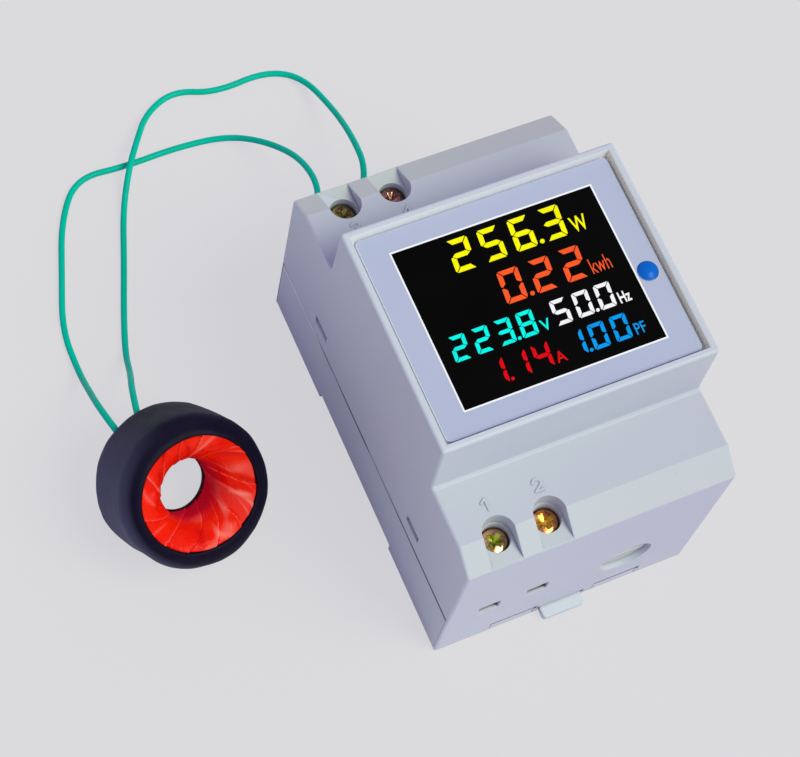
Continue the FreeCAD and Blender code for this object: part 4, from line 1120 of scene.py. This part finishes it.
def sleeveDents(steps, angle, outline):
    r, z = outline[:, :1], outline[:, 1:]
    x, y = r * np.cos(angle), r * np.sin(angle)
    places = np.stack([x * 0.11, y * 0.11, z * 0.07 + 0 * x], -1)
    lumps, fine = smoothNoise(places, 3), smoothNoise(places * 4.0, 8)
    # shallow ring-shaped hollow where the sleeve has shrunk over the edge of the core
    hollow = hump(r - ring["grooveRadius"], ring["grooveWidth"]) * (np.abs(z) > 6.5)
    depth = np.where(z > 0, 1.0, 0.7) * ring["groove"]
    vary = 0.65 + 0.5 * np.sin(angle + 0.8) + 0.2 * np.sin(angle * 3 + 1.0)
    edge = clamped(np.minimum(steps, steps[-1] - steps) / 1.2)[:, None]
    slack = ring["slack"] * clamped(np.cos(angle - 1.7))
    flat = slack * clamped((13.5 - np.abs(z)) / 5) * clamped((r - 12.5) / 3)
    flats = clamped(np.cos(angle * 7 + 0.6 * np.sin(angle * 2)))
    flat = flat + ring["flats"] * flats * clamped(9 - np.abs(z))
    # the outline runs round the sleeve so that a positive amount sinks into it
    return (np.abs(lumps) * ring["lumps"] + ring["ripple"] * fine
            + depth * hollow * np.clip(vary, 0.1, 1.2) + flat) * edge


def lipWobble(outline, angle):
    # the shrunk edge wanders a little way in over the tape
    r = outline[:, :1]
    wander = (0.45 + 0.3 * np.sin(3 * angle + 0.4) + 0.2 * np.sin(7 * angle + 2.0)
              + 0.1 * np.sin(13 * angle))
    near = clamped((13.6 - r) / 1.1)
    # and the mouth is pulled a little wider across than up and down
    pulled = ring["oval"] * clamped((15.8 - r) / 3.4) * np.cos(angle) ** 2
    return pulled - ring["wobble"] * near * clamped(wander), 0.0


def tapeSpread(outline, angle):
    # the tape follows the widened mouth
    share = clamped((outline[:, :1] - 9.5) / 2.8) ** 1.5
    return ring["oval"] * share * np.cos(angle) ** 2, 0.0


def tailEdge(outline, angle):
    # and so does the sleeve's tail, which ends raggedly
    ragged = (0.35 * np.sin(4 * angle) + 0.25 * np.sin(9 * angle + 1.0)
              + 0.2 * np.sin(17 * angle + 2.0))
    near = clamped((outline[:, 1:] + 5.0) / 1.9)
    return tapeSpread(outline, angle)[0], -near * (0.25 + 0.45 * ragged)


def bowlRadius(dx, dz):
    # radius of the arc that leaves the bore straight and ends dx further out and dz further on
    return (dx * dx + dz * dz) / (2 * dx)


def tapeCurve():
    x0, z0 = ring["bore"], ring["throat"] / 2
    x1, z1 = ring["mouth"] - 0.05, ring["length"] / 2 - ring["sink"]
    return x0, z0, x1, z1, bowlRadius(x1 - x0, z1 - z0)


def tailOutline():
    # the sleeve's back end, shrunk down into the bore over the tape
    x0, z0, x1, z1, radius = tapeCurve()
    hub = (x0 + radius, -z0)
    start, w = ring["tailStart"], ring["tailWall"]
    r = hub[0] - math.sqrt(radius ** 2 - (start + z0) ** 2)
    surface = arcPoints((r, start), (x1, -z1), hub, 24)
    return surface, [(x + w * 0.9, z + w * 0.4) for x, z in reversed(surface)]


def tapeOutline():
    x0, z0, x1, z1, radius = tapeCurve()
    front = arcPoints((x1, z1), (x0, z0), (x0 + radius, z0), 46)
    middle = [(x0, z) for z in np.linspace(z0, -z0, 14)[1:-1]]
    w = ring["tapeWall"]
    radius = bowlRadius(x1 - x0 - w, z1 - w - z0)
    inner = arcPoints((x1, -z1 + w), (x0 + w, -z0), (x0 + w + radius, -z0), 10)
    return front + middle + mirrored(front), inner + mirrored(inner)


def wrapShares(steps, angle):
    # which wrap each point lies on, and how far across it
    rng = np.random.RandomState(11)
    along = steps[:, None] / steps[-1]
    turn = angle[None, :] + ring["twist"] * (along - 0.5) * fullTurn / 3.0
    turn = turn + 0.10 * np.sin(3 * turn + 5 * along) + 0.06 * np.sin(5 * turn - 9 * along + 1.0)
    edges = np.sort(np.linspace(0, fullTurn, ring["wraps"], False)
                    + rng.uniform(-0.13, 0.13, ring["wraps"]))
    wrapped = np.mod(turn, fullTurn)
    after = np.searchsorted(edges, wrapped.ravel()).reshape(wrapped.shape)
    before = edges[(after - 1) % len(edges)]
    gap = np.mod(edges[after % len(edges)] - before, fullTurn)
    share = np.mod(wrapped - before, fullTurn) / gap
    return along, turn, (after - 1) % len(edges), share


def foldRidges(along, turn):
    # short creases, most of them near the two mouths
    rng = np.random.RandomState(23)
    ridge = np.zeros_like(turn)
    for _ in range(ring["folds"]):
        middle = rng.uniform(0, fullTurn)
        start = rng.choice([rng.uniform(0.0, 0.16), rng.uniform(0.84, 1.0), rng.uniform(0.1, 0.3)])
        reach = rng.uniform(0.05, 0.12)
        width = rng.uniform(0.03, 0.10)
        lean = rng.uniform(-2.2, 2.2)
        offset = np.mod(turn - middle - lean * (along - start) + math.pi, fullTurn) - math.pi
        ridge += (rng.uniform(0.4, 1.0) * hump(offset, width) * hump(along - start, reach)
                  * rng.choice([-1, 1, 1]))
    return ridge


def tapeWraps(steps, angle, outline):
    along, turn, wrap, share = wrapShares(steps, angle)
    lift = np.random.RandomState(5).uniform(0.6, 1.25, ring["wraps"])[wrap]
    sunk = ring["step"] * lift * clamped(1 - share) ** 1.3
    sunk -= 0.05 * lift * hump(1 - share, 0.06)
    sunk -= ring["foldHeight"] * foldRidges(along, turn)
    z = outline[:, 1:]
    covered = clamped((-z - 2.6) / 0.3) * ring["tailCover"]
    side = np.mod(angle - 3.9 + math.pi, fullTurn) - math.pi
    pressed = ring["pressed"] * hump(side, 0.45) * clamped(1.4 - np.abs(z) / 6)
    # the surface sinks into the tape's own thickness and never narrows the bore
    return -np.clip(sunk + 0.04 + covered + pressed, 0.0, ring["deepest"])


def tapePaintedLight(steps, angle, outline):
    # painted highlight in a light line along the edge of each wrap, painted shade in a dark one
    # beyond it, and pale painted highlight patches below
    along, turn, wrap, share = wrapShares(steps, angle)
    rng = np.random.RandomState(9)
    own = rng.uniform(-0.14, 0.12, ring["wraps"])[wrap]
    strength = rng.uniform(0.3, 1.0, ring["wraps"])[wrap]
    reach = rng.uniform(0.06, 0.2, ring["wraps"])[wrap]
    edge = strength * (0.55 * hump(1 - share, 0.035) + 0.16 * np.exp(-(1 - share) / reach)
                       - 0.55 * hump(share, 0.07))
    near = clamped((outline[:, 1:] - 2.0) / 5.0)
    places = np.stack([3.2 * np.cos(turn), 3.2 * np.sin(turn), 6 * along + 0 * turn], -1)
    patches = clamped(smoothNoise(places, 4))
    low = clamped(np.cos(angle - 5.1)) ** 3
    return np.clip(own + edge * (0.5 + 0.5 * near) + 0.7 * near * foldRidges(along, turn)
                   + near * patches * (0.1 + 1.6 * low), -1, 1)


def ringSpace(tree):
    # position in the ring's own directions, in metres: along it, to the right, out from its axis
    centre = tuple(c * mm for c in ring["centre"])
    offset = vectorMath(tree, "SUBTRACT", objectPlace(tree), centre)
    along = vectorMath(tree, "DOT_PRODUCT", offset, ring["axis"])
    right = vectorMath(tree, "DOT_PRODUCT", offset, ring["right"])
    length = vectorMath(tree, "LENGTH", offset)
    squared = mathNode(tree, "SUBTRACT", multiply(tree, length, length),
                       multiply(tree, along, along))
    return along, right, mathNode(tree, "SQRT", squared)


tape = {
    "look": {"colour": (0.84, 0.004, 0.0), "shade": (0.96, 0.045, 0.008), "cloud": 170.0,
             "clouds": 1.3, "grain": 1500.0, "rough": 0.24, "spread": 0.25},
    # light and dark are the painted highlight and painted shade colours that the wraps mix in
    "boreShadeColour": (0.86, 0.003, 0.040), "deepAlong": (0.0024, 0.0066), "dull": 0.7,
    "light": (0.96, 0.24, 0.20), "lightShare": 0.9, "dark": (0.30, 0.001, 0.006),
    "darkShare": 0.7, "specular": 0.3, "ior": 1.22, "crease": 330.0, "creaseBend": 2.2,
    "creaseDepth": 0.00035, "creaseStrength": 0.6,
}


def tapeMaterial():
    material, tree, shader = newMaterial("tapeRed")
    surface = skinOn(tree, tape["look"])
    along = ringSpace(tree)[0]
    # painted shade: deeper crimson inside the bore, and less shine there
    inside = remap(tree, along, *tape["deepAlong"], 1.0, 0.0)
    colour = mixColour(tree, inside, surface["Colour"], tape["boreShadeColour"])
    # painted highlights and painted shade from the wraps, carried on the mesh
    paintedLight = addNode(tree, "ShaderNodeAttribute", attribute_name="paintedLight").outputs["Fac"]
    lit = mixColour(tree, multiply(tree, paintedLight, tape["lightShare"], clamp=True), colour,
                    tape["light"])
    setInputs(tree, shader, {
        "Base Color": mixColour(tree, multiply(tree, paintedLight, -tape["darkShare"], clamp=True), lit,
                                tape["dark"]),
        "Roughness": mathNode(tree, "MULTIPLY_ADD", inside, tape["dull"], surface["Roughness"]),
        "Specular IOR Level": tape["specular"], "IOR": tape["ior"]})
    crease = cloudy(tree, objectPlace(tree), tape["crease"], 3.0, distortion=tape["creaseBend"])
    bumpOn(tree, shader, crease, tape["creaseDepth"], tape["creaseStrength"])
    return material


sleeveLook = {"colour": (0.0052, 0.0038, 0.0150), "shade": (0.0090, 0.0070, 0.0225),
              "cloud": 80.0, "clouds": 1.2, "grain": 3000.0, "rough": 0.45, "spread": 0.22,
              "depth": 0.00005, "bump": 0.5, "ior": 1.3, "specular": 0.16,
              "rubbed": (0.062, 0.062, 0.128), "rubbedOut": (0.0150, 0.0169),
              "rubbedRight": (-0.016, 0.0), "leastRubbed": 0.06}


def sleeveSheen(tree, colour, look):
    # painted sheen: the round of the sleeve is lighter, most on its left
    along, right, out = ringSpace(tree)
    share = multiply(tree, remap(tree, out, *look["rubbedOut"]),
                     remap(tree, right, *look["rubbedRight"], 1.0, look["leastRubbed"]))
    return mixColour(tree, share, colour, look["rubbed"])


def undented(steps, angle, outline):
    return 0.0


def makeRing():
    black = plastic("sleeveBlack", sleeveLook, sleeveSheen)
    for name, outline, displace, drift, paintedLight, finish, slotName, stands in (
            ("ringSleeve", sleeveOutline(), sleeveDents, lipWobble, None, black, "sleeve_black",
             ("ct_sleeve",)),
            ("sleeveTail", tailOutline(), undented, tailEdge, None, black, "sleeve_black", ()),
            ("ringTape", tapeOutline(), tapeWraps, tapeSpread, tapePaintedLight, tapeMaterial(),
             "tape_red", ("ct_tape",))):
        mesh = turnedShell(name, *outline, displace, drift, paintedLight)
        newPiece(name, mesh, finish, "meter", slotName, stands)


makeRing()
print("ring wrapped")


innerLooks = {
    "trayWhite": ({"colour": (0.82, 0.82, 0.80)}, ["backlight_tray"]),
    "guideClear": ({"colour": (0.75, 0.80, 0.86), "rough": 0.12, "specular": 0.5}, ["light_guide"]),
    "panelGlass": ({"colour": (0.012, 0.012, 0.018), "rough": 0.1, "specular": 0.5}, ["lcd_panel"]),
    "pinTin": ({"colour": (0.72, 0.71, 0.67), "rough": 0.3, "metal": 1.0}, ["lcd_pins"]),
    "chipBlack": ({"colour": (0.02, 0.02, 0.022), "shade": (0.035, 0.034, 0.034), "cloud": 500.0,
                   "grain": 4000.0, "rough": 0.6},
                  ["display_chip", "metering_chip", "switch_body", "switch_stem", "riser_socket",
                   "riser_header"]),
    "boardGreen": ({"colour": (0.01, 0.13, 0.035), "shade": (0.02, 0.20, 0.06), "cloud": 260.0,
                    "clouds": 1.4, "grain": 2400.0, "rough": 0.35},
                   ["display_board", "main_board", "riser_board"]),
    "steelPlated": ({"colour": (0.60, 0.60, 0.61), "shade": (0.42, 0.42, 0.44), "cloud": 350.0,
                     "rough": 0.3, "metal": 1.0, "grain": 2500.0},
                    ["display_board_screws", "main_board_screws"]
                    + ["clamp_cage_%d" % n for n in (1, 2, 3, 4)]),
    "brassTinned": ({"colour": (0.80, 0.62, 0.28), "shade": (0.62, 0.46, 0.2), "cloud": 300.0,
                     "rough": 0.28, "metal": 1.0, "grain": 2500.0},
                    ["contact_%d" % n for n in (1, 2, 3, 4)]),
    "carrierGrey": ({"colour": (0.06, 0.062, 0.066), "rough": 0.55},
                    ["terminal_carrier_a", "terminal_carrier_b"]),
    "filmYellow": ({"colour": (0.78, 0.50, 0.05), "shade": (0.68, 0.42, 0.04), "rough": 0.4},
                   ["film_capacitor"]),
    "canSleeve": ({"colour": (0.03, 0.035, 0.06), "rough": 0.25, "coat": 0.4},
                  ["filter_capacitor"]),
    "varistorBlue": ({"colour": (0.02, 0.07, 0.30), "rough": 0.4, "grain": 1800.0}, ["varistor"]),
    "strandCopper": ({"colour": (0.85, 0.42, 0.22), "shade": (0.6, 0.28, 0.14), "cloud": 900.0,
                      "rough": 0.3, "metal": 1.0}, ["bare_end_a", "bare_end_b"]),
    "windingCopper": ({"colour": (0.62, 0.24, 0.08), "shade": (0.42, 0.14, 0.05), "cloud": 600.0,
                       "rough": 0.3, "metal": 1.0}, ["ct_winding"]),
    "coreIron": ({"colour": (0.22, 0.22, 0.23), "metal": 1.0}, ["ct_core"]),
}
for name, (look, members) in innerLooks.items():
    finish = plastic(name, look)
    for node in members:
        paintNode(node, finish)
print("inner parts finished")

scene.view_settings.view_transform = "Standard"
